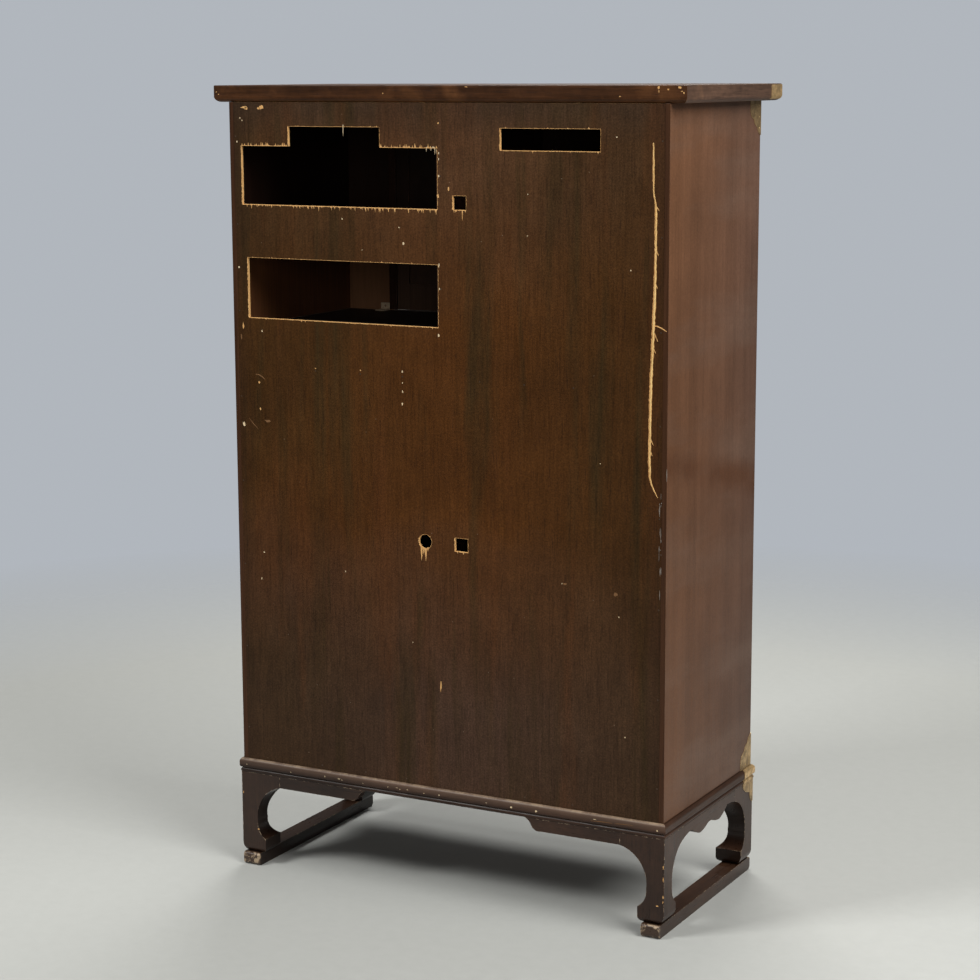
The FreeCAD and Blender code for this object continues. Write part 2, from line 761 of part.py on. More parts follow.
def drawers():
    """Two shallow drawers side by side, and the guides on their outer sides."""
    guides = []
    low, high = "drawer_level", "drawer_level + drawer_height"
    back_y = "door_back_y + drawer_length"
    for side, sign in SIDES.items():
        name = f"{side}_drawer"
        node(board(f"{name}_front", span(sign, "meeting_x", "door_x"), ("front_y", "door_back_y"),
                   ("drawer_level + front_gap", "tier_level - board_thickness - front_gap")), f"{name}_front")
        near_side = span(sign, "drawer_near_x", "drawer_near_x + drawer_side")
        far_side = span(sign, "drawer_far_x - drawer_side", "drawer_far_x")
        inside = span(sign, "drawer_near_x + drawer_side", "drawer_far_x - drawer_side")
        length = ("door_back_y", back_y)
        floor = f"{low} + drawer_bottom_rise"
        group(f"{name}_box", [
            board(f"{name}_near_side", near_side, length, (low, high)),
            board(f"{name}_far_side", far_side, length, (low, high)),
            board(f"{name}_back", inside, (f"{back_y} - drawer_side", back_y), (low, high)),
            board(f"{name}_bottom", inside, ("door_back_y", f"{back_y} - drawer_side"),
                  (floor, f"{floor} + drawer_bottom")),
        ])
        knob = drawer_knob(f"{name}_knob")
        middle_z = "(drawer_level + tier_level - board_thickness) / 2"
        node(place(knob, f"{sign} * (meeting_x + door_x) / 2", "front_y", middle_z), f"{name}_knob")
        guides.append(board(f"{side}_guide", span(sign, "guide_x", "guide_x + guide_width"),
                            ("door_back_y", "inner_back_y"), (low, f"{low} + guide_height")))
    group("drawer_guides", guides)


def drawer_knob(name):
    """A turned knob on a round rose, standing out towards -y."""
    knob = new_body(name)
    half = sketch_on(knob, "XY_Plane")
    loop(half, [
        ("0", "0"), ("knob_radius", "0"), ("knob_radius", "-brass_thickness"),
        ("knob_neck", "-brass_thickness - knob_flare"), ("knob_neck", "-knob_neck_length"),
        ("knob_radius", "-knob_belly", "-knob_bulge"),
        ("knob_crown_radius", "-knob_reach + knob_crown_height"), ("0", "-knob_reach"),
    ])
    turned = knob.newObject("PartDesign::Revolution", f"{name}_turned")
    turned.Profile = half
    turned.ReferenceAxis = (half, ["V_Axis"])
    turned.Angle = 360
    knob.Tip = turned
    return knob


def brackets():
    """Angle brackets that tie the stiles to the boards under them."""
    items = []
    for level in ("floor_level", "tier_level"):
        for side, sign in SIDES.items():
            bracket = slab(f"{side}_bracket", "YZ_Plane", [
                ("0", "0"), ("bracket_foot", "0"), ("bracket_foot", "bracket_thickness"),
                ("bracket_thickness", "bracket_thickness"), ("bracket_thickness", "bracket_rise"),
                ("0", "bracket_rise"),
            ], "bracket_width", both=True)
            for plane, offset in (("XY_Plane", "bracket_foot_hole"), ("XZ_Plane", "bracket_rise_hole")):
                screw = sketch_on(bracket, plane)
                circle(screw, "0", offset, "bracket_hole")
                extrude("Pocket", bracket, screw, "through_cut", both=True)
            items.append(place(bracket, f"{sign} * (opening_x + bracket_offset)", "door_back_y", level))
    group("front_brackets", items)


# The hoofed leg's outline: x runs inwards from the outer face as a negative distance.
# The heel is rounded more as seen from the front or back than as seen from the side.
HEEL = [
    ("0", "runner_height + heel_rise", "heel_bulge"),
    ("-heel_inset", "runner_height"),
]
SIDE_HEEL = [
    ("0", "runner_height + side_heel_rise", "side_heel_bulge"),
    ("-side_heel_inset", "runner_height"),
]
HOOF = [
    ("-hoof_sole", "runner_height", "hoof_sole_bulge"),
    ("-hoof_width", "runner_height + hoof_side_rise"),
    ("-hoof_width", "runner_height + hoof_rise", "-hoof_bulge"),
    ("-ankle_width", "ankle_level", "-arch_bulge"),
    ("-leg_reach", "arch_level"),
]


def hoofed_leg(name, side, end):
    """A corner leg whose outline is cut from both faces, with a square hoof under a slim ankle."""
    outline = [("0", "stand_level")] + HEEL + HOOF + [("-leg_reach", "stand_level")]
    leg = slab(name, "XZ_Plane", facing(side, outline), "leg_reach", reverse=end < 0)
    below = "runner_height - cut_margin"
    other_face = sketch_on(leg, "YZ_Plane")
    loop(other_face, facing(end, SIDE_HEEL + [("-side_heel_inset", below), ("cut_margin", below),
                                              ("cut_margin", "runner_height + side_heel_rise")]))
    loop(other_face, facing(end, HOOF + [("-leg_reach - cut_margin", "arch_level"),
                                         ("-leg_reach - cut_margin", below), ("-hoof_sole", below)]))
    extrude("Pocket", leg, other_face, "through_cut", both=True)
    corner = sketch_on(leg, "XY_Plane", "ankle_level")
    reach = ("-leg_reach - cut_margin", "-leg_thickness")
    x = reach if side > 0 else span(1, "leg_thickness", "leg_reach + cut_margin")
    y = reach if end > 0 else span(1, "leg_thickness", "leg_reach + cut_margin")
    loop(corner, rectangle(x, y))
    extrude("Pocket", leg, corner, "stand_height", reverse=True)
    outer_y = "leg_back_y" if end > 0 else "leg_front_y"
    node(place(leg, f"{side} * (leg_x)", outer_y, "0"), name)


def apron_outline(half):
    """Arches by the legs, a lobe beside each and a raised middle, which is long on the front apron."""
    peak, lobe, notch = (f"stand_level - apron_{part}_drop" for part in ("peak", "lobe", "notch"))
    right = [
        (half, "stand_level"), (half, "arch_level", "-apron_peak_bulge"),
        (f"{half} - apron_run", peak, "apron_lobe_bulge"),
        (f"{half} - 2 * apron_run", lobe, "apron_notch_bulge"), (f"{half} - 3 * apron_run", notch),
    ]
    left = [(f"-({half})", "stand_level")]
    mirrored = [(f"-({x})", y) for x, y, *_ in right]
    bulges = [point[2:] for point in right]
    for step in range(len(right) - 1, 0, -1):
        left.append(mirrored[step] + bulges[step - 1])
    return right + left[1:] + left[:1]


def aprons():
    """Lobed aprons on the sides and the front, and the short spandrels behind."""
    for side, sign in SIDES.items():
        name = f"side_apron_{side}"
        apron = slab(name, "YZ_Plane", apron_outline("side_apron_half"), "apron_thickness", reverse=sign > 0)
        node(place(apron, f"{sign} * (leg_x)", "centre_y", "0"), name)
    front = slab("front_apron", "XZ_Plane", apron_outline("front_apron_half"), "apron_thickness",
                 reverse=True)
    node(place(front, "0", "leg_front_y", "0"), "front_apron")
    tip = "front_apron_half - spandrel_length - spandrel_lobe_run"
    for side, sign in SIDES.items():
        name = f"rear_spandrel_{side}"
        spandrel = slab(name, "XZ_Plane", facing(sign, [
            ("front_apron_half", "arch_level"), ("front_apron_half", "stand_level"),
            (f"{tip} - spandrel_hollow_run", "stand_level", "spandrel_hollow"),
            (tip, "arch_level + spandrel_lobe_rise", "-spandrel_lobe_bulge"),
            ("front_apron_half - spandrel_length", "arch_level"),
        ]), "apron_thickness")
        node(place(spandrel, "0", "leg_back_y", "0"), name)


def runners():
    """Floor runners under the feet, with rounded ends that stand out past the legs."""
    low, high = "leg_front_y - runner_overhang", "leg_back_y + runner_overhang"
    for side, sign in SIDES.items():
        name = f"runner_{side}"
        runner = slab(name, "YZ_Plane", [
            (f"{low} + runner_toe", "0"), (f"{high} - runner_toe", "0", f"-{QUARTER} * runner_toe"),
            (high, "runner_toe"), (high, "runner_height - runner_ease", f"-{QUARTER} * runner_ease"),
            (f"{high} - runner_ease", "runner_height"),
            (f"{low} + runner_ease", "runner_height", f"-{QUARTER} * runner_ease"),
            (low, "runner_height - runner_ease"), (low, "runner_toe", f"-{QUARTER} * runner_toe"),
        ], "runner_width", both=True)
        node(place(runner, f"{sign} * (leg_x - runner_inset - runner_width / 2)", "0", "0"), name)


def stand():
    """Mouldings, legs, aprons and runners under the body."""
    mitred_frame("stand_moulding", BASE_SECTION, "moulding_width", "half_width + moulding_proud",
                 "front_y - moulding_proud", "back_y + moulding_proud", "stand_level")
    for side, sign in SIDES.items():
        hoofed_leg(f"front_{side}_leg", sign, FRONT)
        hoofed_leg(f"rear_{side}_leg", sign, BACK)
    aprons()
    runners()


def corner_plate(name, sign, upward, outline, x, y, z):
    """A thin brass angle on a front corner: one wing on the side, one on the front."""
    plate = new_body(name)
    wing = sketch_on(plate, "YZ_Plane")
    side_outline = upside(upward, outline)
    edge = [(f"({p[0]}) - brass_thickness",) + p[1:] if p[0] == "0" else p for p in side_outline]
    loop(wing, edge)
    extrude("Pad", plate, wing, "brass_thickness", reverse=sign < 0)
    front = sketch_on(plate, "XZ_Plane")
    loop(front, facing(-sign, side_outline))
    extrude("Pad", plate, front, "brass_thickness")
    return place(plate, x, y, z)


def corner_cap(name, sign, face, depth, x, y, z):
    """A brass cap bent round a front corner of a moulding, following its face."""
    shell = list(face)
    for step in range(len(face) - 1, -1, -1):
        bulge = face[step - 1][2:] if step else ()
        shell.append((f"{face[step][0]} + brass_thickness", face[step][1]) + tuple(f"-({b})" for b in bulge))
    cap = new_body(name)
    reach = f"corner_wing - {depth}"
    section = sketch_on(cap, "XZ_Plane", f"-({reach})")
    loop(section, facing(sign, shell))
    path = sketch_on(cap, "XY_Plane")
    track(path, [("0", reach), ("0", "0"), (f"{-sign} * ({reach})", "0")])
    pipe = cap.newObject("PartDesign::AdditivePipe", f"{name}_pipe")
    pipe.Profile = section
    pipe.Spine = (path, ["Edge1", "Edge2"])
    pipe.Transition = "Right corner"
    cap.Tip = pipe
    return place(cap, x, y, z)


def corner_brass():
    """The plates and caps of the front corners, from the top board down to the legs."""
    fall = "(corner_plate_height - corner_plate_end) / 3"
    scallop = [
        ("0", "0"), ("corner_wing", "0"), ("corner_wing", "-corner_plate_end", "scallop_bulge"),
        ("2 * corner_wing / 3", f"-corner_plate_end - {fall}", "scallop_bulge"),
        ("corner_wing / 3", f"-corner_plate_end - 2 * {fall}", "scallop_bulge"),
        ("0", "-corner_plate_height"),
    ]
    leg_shape = [
        ("0", "0"), ("corner_wing", "0"),
        ("corner_wing - leg_plate_taper", "-leg_plate_end", "leg_plate_bulge"),
        ("leg_plate_waist", "-leg_plate_waist_drop", "scallop_bulge"),
        ("leg_plate_tail", "-leg_plate_height"), ("0", "-leg_plate_height"),
    ]
    items = []
    for side, sign in SIDES.items():
        corner_x = f"{sign} * (half_width)"
        items += [
            corner_plate(f"{side}_top_plate", sign, 1, scallop, corner_x, "front_y", "top_level"),
            corner_plate(f"{side}_foot_plate", sign, -1, scallop, corner_x, "front_y", "stand_height"),
            corner_plate(f"{side}_leg_plate", sign, 1, leg_shape, f"{sign} * (leg_x)", "leg_front_y",
                         "stand_level"),
            corner_cap(f"{side}_top_cap", sign, TOP_CAP, "lipping_width",
                       f"{sign} * (half_width + top_side_overhang - lipping_width)",
                       "front_y - top_front_overhang + lipping_width", "top_level"),
            corner_cap(f"{side}_base_cap", sign, BASE_FACE, "moulding_width",
                       f"{sign} * (half_width + moulding_proud - moulding_width)",
                       "front_y - moulding_proud + moulding_width", "stand_level"),
        ]
    group("corner_brass", items)


def write_pieces():
    """Checks every object and writes each piece to its file."""
    doc.recompute()
    for item in doc.Objects:
        if "Invalid" in item.State or "Error" in item.State:
            raise RuntimeError(f"{item.Name} did not build: {item.State}")
    os.makedirs("parts", exist_ok=True)
    for item in nodes:
        if item.Shape.isNull() or not item.Shape.isValid():
            raise RuntimeError(f"{item.Label} has no valid shape")
    for item in nodes:
        item.Shape.exportStep(f"parts/{item.Label}.step")
    print(len(nodes), "pieces written")


top()
side_panels()
back_panel()
back_pins()
carcass_boards()
front_frame()
doors()
drawers()
brackets()
stand()
corner_brass()
write_pieces()
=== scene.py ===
import json
import math
import random

import bmesh
import bpy
from mathutils import Matrix, Vector


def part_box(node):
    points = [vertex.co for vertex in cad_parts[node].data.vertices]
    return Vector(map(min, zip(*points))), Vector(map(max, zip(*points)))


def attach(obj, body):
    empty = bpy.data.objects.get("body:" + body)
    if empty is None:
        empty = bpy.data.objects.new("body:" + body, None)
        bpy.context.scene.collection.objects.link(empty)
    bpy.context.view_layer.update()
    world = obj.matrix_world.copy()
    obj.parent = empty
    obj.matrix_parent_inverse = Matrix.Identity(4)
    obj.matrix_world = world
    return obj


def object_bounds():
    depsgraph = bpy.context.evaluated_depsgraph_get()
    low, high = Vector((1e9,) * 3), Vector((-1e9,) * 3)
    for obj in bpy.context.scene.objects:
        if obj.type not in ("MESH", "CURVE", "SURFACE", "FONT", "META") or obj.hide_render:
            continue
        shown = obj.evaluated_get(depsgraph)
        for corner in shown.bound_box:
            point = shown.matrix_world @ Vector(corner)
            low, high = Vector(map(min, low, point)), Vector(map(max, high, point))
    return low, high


MM = 0.001
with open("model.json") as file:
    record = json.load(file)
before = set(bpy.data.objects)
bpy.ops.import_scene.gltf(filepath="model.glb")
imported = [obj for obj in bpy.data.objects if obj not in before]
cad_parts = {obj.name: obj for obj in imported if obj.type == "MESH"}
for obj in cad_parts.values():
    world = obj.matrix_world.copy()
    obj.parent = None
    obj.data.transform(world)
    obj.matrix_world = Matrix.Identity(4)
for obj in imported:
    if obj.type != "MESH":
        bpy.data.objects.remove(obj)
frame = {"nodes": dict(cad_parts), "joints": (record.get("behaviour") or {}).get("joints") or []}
cad_low, cad_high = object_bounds()
nodes = frame["nodes"]
dice = random.Random(7)

SIDES = {"left": -1, "right": 1}
DOORS = [f"{floor}_{side}_door" for floor in ("upper", "lower") for side in SIDES]

# Faces and levels that the loose marks and small fittings sit on, read from the cabinet itself.
PANEL_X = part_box("back_panel")[1].x
BACK_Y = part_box("back_panel")[1].y
FRONT_Y, DOOR_BACK_Y = (corner.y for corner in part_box("front_stile_left"))
INNER_X, SIDE_X = (corner.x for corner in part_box("side_panel_right"))
LEG_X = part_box("front_right_leg")[1].x
LEG_FRONT_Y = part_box("front_right_leg")[0].y
LEG_BACK_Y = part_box("rear_right_leg")[1].y
TOP_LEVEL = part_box("top_board")[0].z
TOP_BACK_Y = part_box("top_lipping_back")[1].y
SHELF_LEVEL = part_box("upper_shelves")[0].z
MOULDING_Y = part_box("stand_moulding_back")[1].y
STAND_LEVEL, STAND_HEIGHT = (corner.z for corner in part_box("stand_moulding_back"))


# Shader building blocks

def rgb(red, green, blue):
    return (red, green, blue, 1)


class Shader:
    """A tree of shader nodes, with short calls for the ones that are used here."""

    def __init__(self, tree):
        self.tree = tree

    def node(self, kind, inputs=None, **options):
        """Adds a node, sets its options, fills its sockets with values or links and gives its outputs."""
        made = self.tree.nodes.new(f"ShaderNode{kind}")
        for option, choice in options.items():
            setattr(made, option, choice)
        for socket, source in (inputs or {}).items():
            if isinstance(source, bpy.types.NodeSocket):
                self.tree.links.new(source, made.inputs[socket])
            else:
                made.inputs[socket].default_value = source
        return made.outputs

    def math(self, operation, a, b=0.0):
        return self.node("Math", {0: a, 1: b}, operation=operation)[0]

    def times(self, a, b):
        return self.math("MULTIPLY", a, b)

    def plus(self, a, b):
        return self.math("ADD", a, b)

    def minus(self, a, b):
        return self.math("SUBTRACT", a, b)

    def most(self, a, b):
        return self.math("MAXIMUM", a, b)

    def size(self, a):
        return self.math("ABSOLUTE", a)

    def axes(self, vector):
        return self.node("SeparateXYZ", {0: vector})

    def ranged(self, value, low, high, out_low=0.0, out_high=1.0):
        """The value spread from its own range over another, held at the ends."""
        return self.node("MapRange", {0: value, 1: low, 2: high, 3: out_low, 4: out_high})[0]

    def mixed(self, share, first, second, blend="MIX"):
        """One colour over another by a share."""
        return self.node("Mix", {0: share, 6: first, 7: second}, data_type="RGBA", blend_type=blend)[2]

    def shaded(self, colour, value, low, high):
        """The colour made darker or lighter by a value from 0 to 1."""
        return self.mixed(1, colour, self.ranged(value, 0, 1, low, high), "MULTIPLY")

    def noise(self, place, scale, detail=3.0, roughness=0.55, distortion=0.0):
        return self.node("TexNoise", {
            "Vector": place, "Scale": scale, "Detail": detail, "Roughness": roughness,
            "Distortion": distortion})[0]


EFFECTS = {}


class Effect(Shader):
    """A shared effect, kept under its name, that takes vectors and numbers and gives numbers."""

    def __init__(self, name, vectors, numbers, results):
        tree = EFFECTS[name] = bpy.data.node_groups.new(name, "ShaderNodeTree")
        super().__init__(tree)
        for socket in (*vectors, *numbers):
            kind = "Vector" if socket in vectors else "Float"
            tree.interface.new_socket(socket, in_out="INPUT", socket_type=f"NodeSocket{kind}")
        for socket in results:
            tree.interface.new_socket(socket, in_out="OUTPUT", socket_type="NodeSocketFloat")
        self.given = tree.nodes.new("NodeGroupInput").outputs
        self.results = tree.nodes.new("NodeGroupOutput").inputs

    def give(self, socket, value):
        self.tree.links.new(value, self.results[socket])


def long_grain():
    """Broad figure, fine fibres and open pores, drawn out along the grain."""
    made = Effect("long_grain", ["Place", "Stretch"], ["Offset"], ["Figure", "Fibre", "Pores"])
    given = made.given
    spot = made.node("VectorMath", {0: given["Place"], 1: given["Stretch"], 2: given["Offset"]},
                     operation="MULTIPLY_ADD")[0]
    made.give("Figure", made.ranged(made.noise(spot, 22, 3, 0.6, 0.4), 0.3, 0.7))
    made.give("Fibre", made.ranged(made.noise(spot, 210, 4, 0.7), 0.25, 0.75))
    made.give("Pores", made.ranged(made.noise(spot, 560, 2, 0.5), 0.58, 0.74))


def edge_wear():
    """Patches rubbed bare along the edges of a piece."""
    made = Effect("edge_wear", ["Place"], ["Width", "Patch", "Amount"], ["Wear"])
    given = made.given
    rounded = made.node("Bevel", {"Radius": given["Width"]}, samples=6)[0]
    flat = made.node("NewGeometry")["Normal"]
    alike = made.node("VectorMath", {0: rounded, 1: flat}, operation="DOT_PRODUCT")["Value"]
    edge = made.ranged(made.minus(1, alike), 0.015, 0.16)
    level = made.minus(0.78, made.times(given["Amount"], 0.5))
    patches = made.noise(given["Place"], given["Patch"], 5, 0.68)
    patchy = made.ranged(made.minus(patches, level), -0.05, 0.06)
    made.give("Wear", made.times(edge, patchy))


def specks():
    """Scattered small specks, a share of the cells of a loose grid."""
    made = Effect("specks", ["Place"], ["Scale", "Size", "Share"], ["Specks"])
    given = made.given
    cells = made.node("TexVoronoi", {"Vector": given["Place"], "Scale": given["Scale"], "Randomness": 1.0})
    pick = made.node("SeparateColor", {0: cells["Color"]})
    reach = made.times(given["Size"], pick[1])
    inside = made.ranged(made.minus(reach, cells["Distance"]), 0, 0.03)
    chosen = made.math("LESS_THAN", pick[0], given["Share"])
    made.give("Specks", made.times(inside, chosen))


def recess():
    """How deep a point lies in a corner or groove."""
    made = Effect("recess", [], ["Distance"], ["Recess"])
    open_share = made.node("AmbientOcclusion", {"Distance": made.given["Distance"]}, samples=8)["AO"]
    made.give("Recess", made.ranged(open_share, 0.85, 0.25))


def turned_under():
    """Faces of the stand that look in under the cabinet, where painted shade is laid."""
    made = Effect("turned_under", ["Place", "Normal"], [], ["Under"])
    given = made.given
    lean = made.node("VectorMath", {0: given["Place"], 1: given["Normal"]}, operation="MULTIPLY")
    axis = made.axes(lean[0])
    made.give("Under", made.most(made.ranged(axis[0], -0.12, -0.34), made.ranged(axis[1], -0.06, -0.16)))


def turned_in():
    """Faces that look into the cabinet, and a change by level from the dark lining above the upper shelf to
    the brown one below: painted shade above and painted light below.
    """
    made = Effect("turned_in", ["Place", "Normal"], [], ["Inside", "Brown"])
    backward = made.axes(made.given["Normal"])[1]
    made.give("Inside", made.ranged(backward, 0.5, 0.8))
    level = made.axes(made.given["Place"])[2]
    made.give("Brown", made.ranged(level, SHELF_LEVEL + 35 * MM, SHELF_LEVEL - 65 * MM))


long_grain()
edge_wear()
specks()
recess()
turned_in()
turned_under()
FINISHES = {}


class Finish(Shader):
    """A material laid up coat by coat over the colour so far, kept under its name."""

    def __init__(self, name):
        material = FINISHES[name] = bpy.data.materials.new(name)
        material.use_nodes = True
        super().__init__(material.node_tree)
        self.tree.nodes.clear()
        shader = self.tree.nodes.new("ShaderNodeBsdfPrincipled")
        self.tree.links.new(shader.outputs[0], self.tree.nodes.new("ShaderNodeOutputMaterial").inputs[0])
        self.sockets = shader.inputs
        spot = self.node("TexCoord")
        self.place, self.facing = spot["Object"], spot["Normal"]
        self.colour = None

    def effect(self, name, **inputs):
        return self.node("Group", inputs, node_tree=EFFECTS[name])

    def grain(self, stretch, offset):
        """Figure, fibres and pores of wood that is drawn out by the stretch."""
        return self.effect("long_grain", Place=self.place, Stretch=stretch, Offset=offset)

    def rubbed_edges(self, width, patch, amount):
        return self.effect("edge_wear", Place=self.place, Width=width, Patch=patch, Amount=amount)["Wear"]

    def specks(self, scale, size, share):
        return self.effect("specks", Place=self.place, Scale=scale, Size=size, Share=share)["Specks"]

    def recess(self, distance):
        return self.effect("recess", Distance=distance)["Recess"]

    def turned(self, way):
        """The faces turned one way: under the cabinet or into it."""
        return self.effect(f"turned_{way}", Place=self.place, Normal=self.facing)

    def patches(self, *kind):
        """Soft noise over the object, of a scale, detail, roughness and distortion."""
        return self.noise(self.place, *kind)

    def clouds(self, *kind):
        """The same noise, spread over the range from 0 to 1."""
        return self.ranged(self.patches(*kind), 0.3, 0.7)

    def sheen(self, grain, scale, detail, low, high):
        """A roughness that wanders between two values with the fibres."""
        return self.ranged(self.plus(self.patches(scale, detail), grain["Fibre"]), 0.4, 1.6, low, high)

    def lay(self, mask, colour, strength=1.0):
        """Lays a colour over the colour so far by a mask, thinned by a strength."""
        share = mask if strength == 1.0 else self.times(mask, strength)
        self.colour = self.mixed(share, self.colour, colour)

    def shade(self, value, low, high):
        """Makes the colour so far darker or lighter by a value from 0 to 1."""
        self.colour = self.shaded(self.colour, value, low, high)

    def line(self, lining, streaks):
        """Lays a streaked lining, dark above and brown below, on the faces that look into the cabinet:
        painted shade above the upper shelf and painted light below it.
        """
        turned = self.turned("in")
        plain = self.mixed(turned["Brown"], *lining)
        self.lay(turned["Inside"], self.shaded(plain, streaks, 0.6, 1.3))

    def surface(self, roughness, gloss=0.5, metal=0.0):
        """Joins the colour and the roughness to the shader and sets how it reflects."""
        self.tree.links.new(self.colour, self.sockets["Base Color"])
        self.tree.links.new(roughness, self.sockets["Roughness"])
        self.sockets["Specular IOR Level"].default_value = gloss
        self.sockets["Metallic"].default_value = metal

    def bump(self, height, strength, distance):
        relief = self.node("Bump", {"Height": height, "Strength": strength, "Distance": distance})
        self.tree.links.new(relief[0], self.sockets["Normal"])

    def open_grain(self, grain, ridge, strength, distance):
        """Raised fibres and sunken pores."""
        self.bump(self.minus(self.times(grain["Fibre"], ridge), grain["Pores"]), strength, distance)


# The grain runs along one axis, drawn out twenty times.
GRAIN = {"x": (0.05, 1, 1), "y": (1, 0.05, 1), "z": (1, 1, 0.05)}
PORE = rgb(0.008, 0.004, 0.003)
# Painted shade laid into corners and grooves by how enclosed they are.
CORNER_SHADE = rgb(0.01, 0.007, 0.005)
CREAM = rgb(0.62, 0.47, 0.31)
END_GRAIN = rgb(0.052, 0.03, 0.02)
RUBBED = rgb(0.34, 0.21, 0.11)
# Painted highlight on the moulding below its crown.
CROWN_HIGHLIGHT = rgb(0.25, 0.165, 0.12)
PALE_SPECK = rgb(0.55, 0.42, 0.28)
# Linings of the front: dark towards the top as painted shade, and brown below as painted light.
INSIDE = (rgb(0.04, 0.021, 0.014), rgb(0.125, 0.072, 0.046))
POST_INSIDE = (rgb(0.03, 0.014, 0.009), rgb(0.3, 0.145, 0.07))
# Wood with its stain torn off, deep and pale.
BARE = (rgb(0.56, 0.26, 0.075), rgb(0.92, 0.58, 0.25))


def wood(name, dark, light, along, offset, rough, gloss, wear=0.35, wear_width=1.4 * MM, worn=RUBBED,
         patch=46.0, specks=0.05, corner_shade_share=0.5, inside=None, end_wear=None, crown_wear_and_highlight=None, under=None,
         glow=None, dust=None, painted_shade_across=None):
    """Stained and lacquered wood with its grain along one axis, rubbed at the edges and specked."""
    coat = Finish(name)
    grain = coat.grain(GRAIN[along], offset)
    bands = coat.plus(coat.times(grain["Figure"], 0.5), coat.times(grain["Fibre"], 0.5))
    coat.colour = coat.mixed(bands, dark, light)
    coat.shade(coat.clouds(5.5, 4), 0.7, 1.25)
    coat.shade(coat.clouds(70, 5, 0.7), 0.82, 1.18)
    coat.lay(grain["Pores"], PORE, 0.55)
    # Painted shade in corners and grooves.
    coat.lay(coat.recess(12 * MM), CORNER_SHADE, corner_shade_share)
    if glow:
        lit = coat.ranged(coat.patches(10, 5, 0.62, 0.5), 0.52, 0.7, 0, 0.62)
        coat.lay(lit, coat.shaded(glow, grain["Fibre"], 0.6, 1.4))
    # Painted shade: darker towards positive x.
    if painted_shade_across:
        coat.shade(coat.ranged(coat.axes(coat.place)[0], -LEG_X, LEG_X), 1, painted_shade_across)
    # Painted shade on the faces that look in under the cabinet.
    if under:
        coat.lay(coat.turned("under")["Under"], under, 0.8)
    # Painted shade and light on the lining inside the cabinet.
    if inside:
        coat.line(inside, bands)
    rubbed = coat.rubbed_edges(wear_width, patch, wear)
    if end_wear:
        at_end = coat.ranged(coat.size(coat.axes(coat.place)[1]), end_wear - 7 * MM, end_wear - 2 * MM)
        bare = coat.ranged(coat.patches(62, 4, 0.6, 1.2), 0.5, 0.6, 0, 0.66)
        coat.lay(at_end, END_GRAIN, 0.85)
        rubbed = coat.most(rubbed, coat.times(at_end, bare))
    # Wear along the moulding's crown, partly a painted highlight on its rounded top.
    if crown_wear_and_highlight:
        rise = coat.axes(coat.place)[2]
        at_crown = coat.ranged(rise, crown_wear_and_highlight - 4.2 * MM, crown_wear_and_highlight - 1.6 * MM)
        bare = coat.ranged(coat.patches(24, 5, 0.75), 0.4, 0.66, 0.03, 0.42)
        rubbed = coat.most(rubbed, coat.times(at_crown, bare))
        # A painted highlight, lighter near the crown and less so further down.
        crown_highlight = coat.ranged(rise, crown_wear_and_highlight - 16 * MM, crown_wear_and_highlight - 3 * MM, 0, 0.34)
        coat.lay(crown_highlight, coat.shaded(CROWN_HIGHLIGHT, bands, 0.6, 1.3))
    coat.lay(rubbed, worn)
    # Dust on faces that look up, partly a painted highlight on the ledges of the front.
    if dust:
        upward = coat.ranged(coat.axes(coat.facing)[2], 0.6, 0.9)
        lying = coat.ranged(coat.patches(40, 5, 0.7), 0.3, 0.7, 0.1, 0.42)
        coat.lay(coat.times(upward, lying), dust)
    coat.lay(coat.specks(34, 0.07, specks), PALE_SPECK)
    shine = coat.sheen(grain, 16, 4, rough - 0.08, rough + 0.14)
    coat.surface(coat.plus(shine, coat.times(rubbed, 0.15)), gloss)
    coat.open_grain(grain, 0.4, 0.25, 0.4 * MM)


BACK_WARM, BACK_SHEEN_ABOVE = rgb(0.078, 0.028, 0.0064), rgb(0.083, 0.0385, 0.017)
BACK_SHEEN_BELOW, BACK_DEEP = rgb(0.063, 0.0335, 0.0208), rgb(0.038, 0.02, 0.006)
BACK_GREEN, BACK_RED = rgb(0.034, 0.0215, 0.0075), rgb(0.092, 0.031, 0.009)
BACK_UNDER_TOP, BACK_RIM = rgb(0.046, 0.027, 0.016), rgb(0.022, 0.011, 0.007)
BACK_SPECK, BACK_DUST = rgb(0.46, 0.34, 0.22), rgb(0.34, 0.26, 0.18)
# Fades of the back's colour, in metres up or across: where each begins and where it is whole. Above and
# below they lay a painted sheen, and to the left a painted shade.
FADE_ABOVE, FADE_BELOW = (1.3, 1.62), (0.95, 0.55)
FADE_RIGHT, SHADE_TOWARDS_LEFT, FADE_RIM = (0.02, 0.36), (-0.1, -0.38), (0.42, 0.46)
# The right half keeps its warm colour round this level.
WARM_LEVEL, WARM_REACH = 0.67, (0.04, 0.22)
PLY = 1.7 * MM


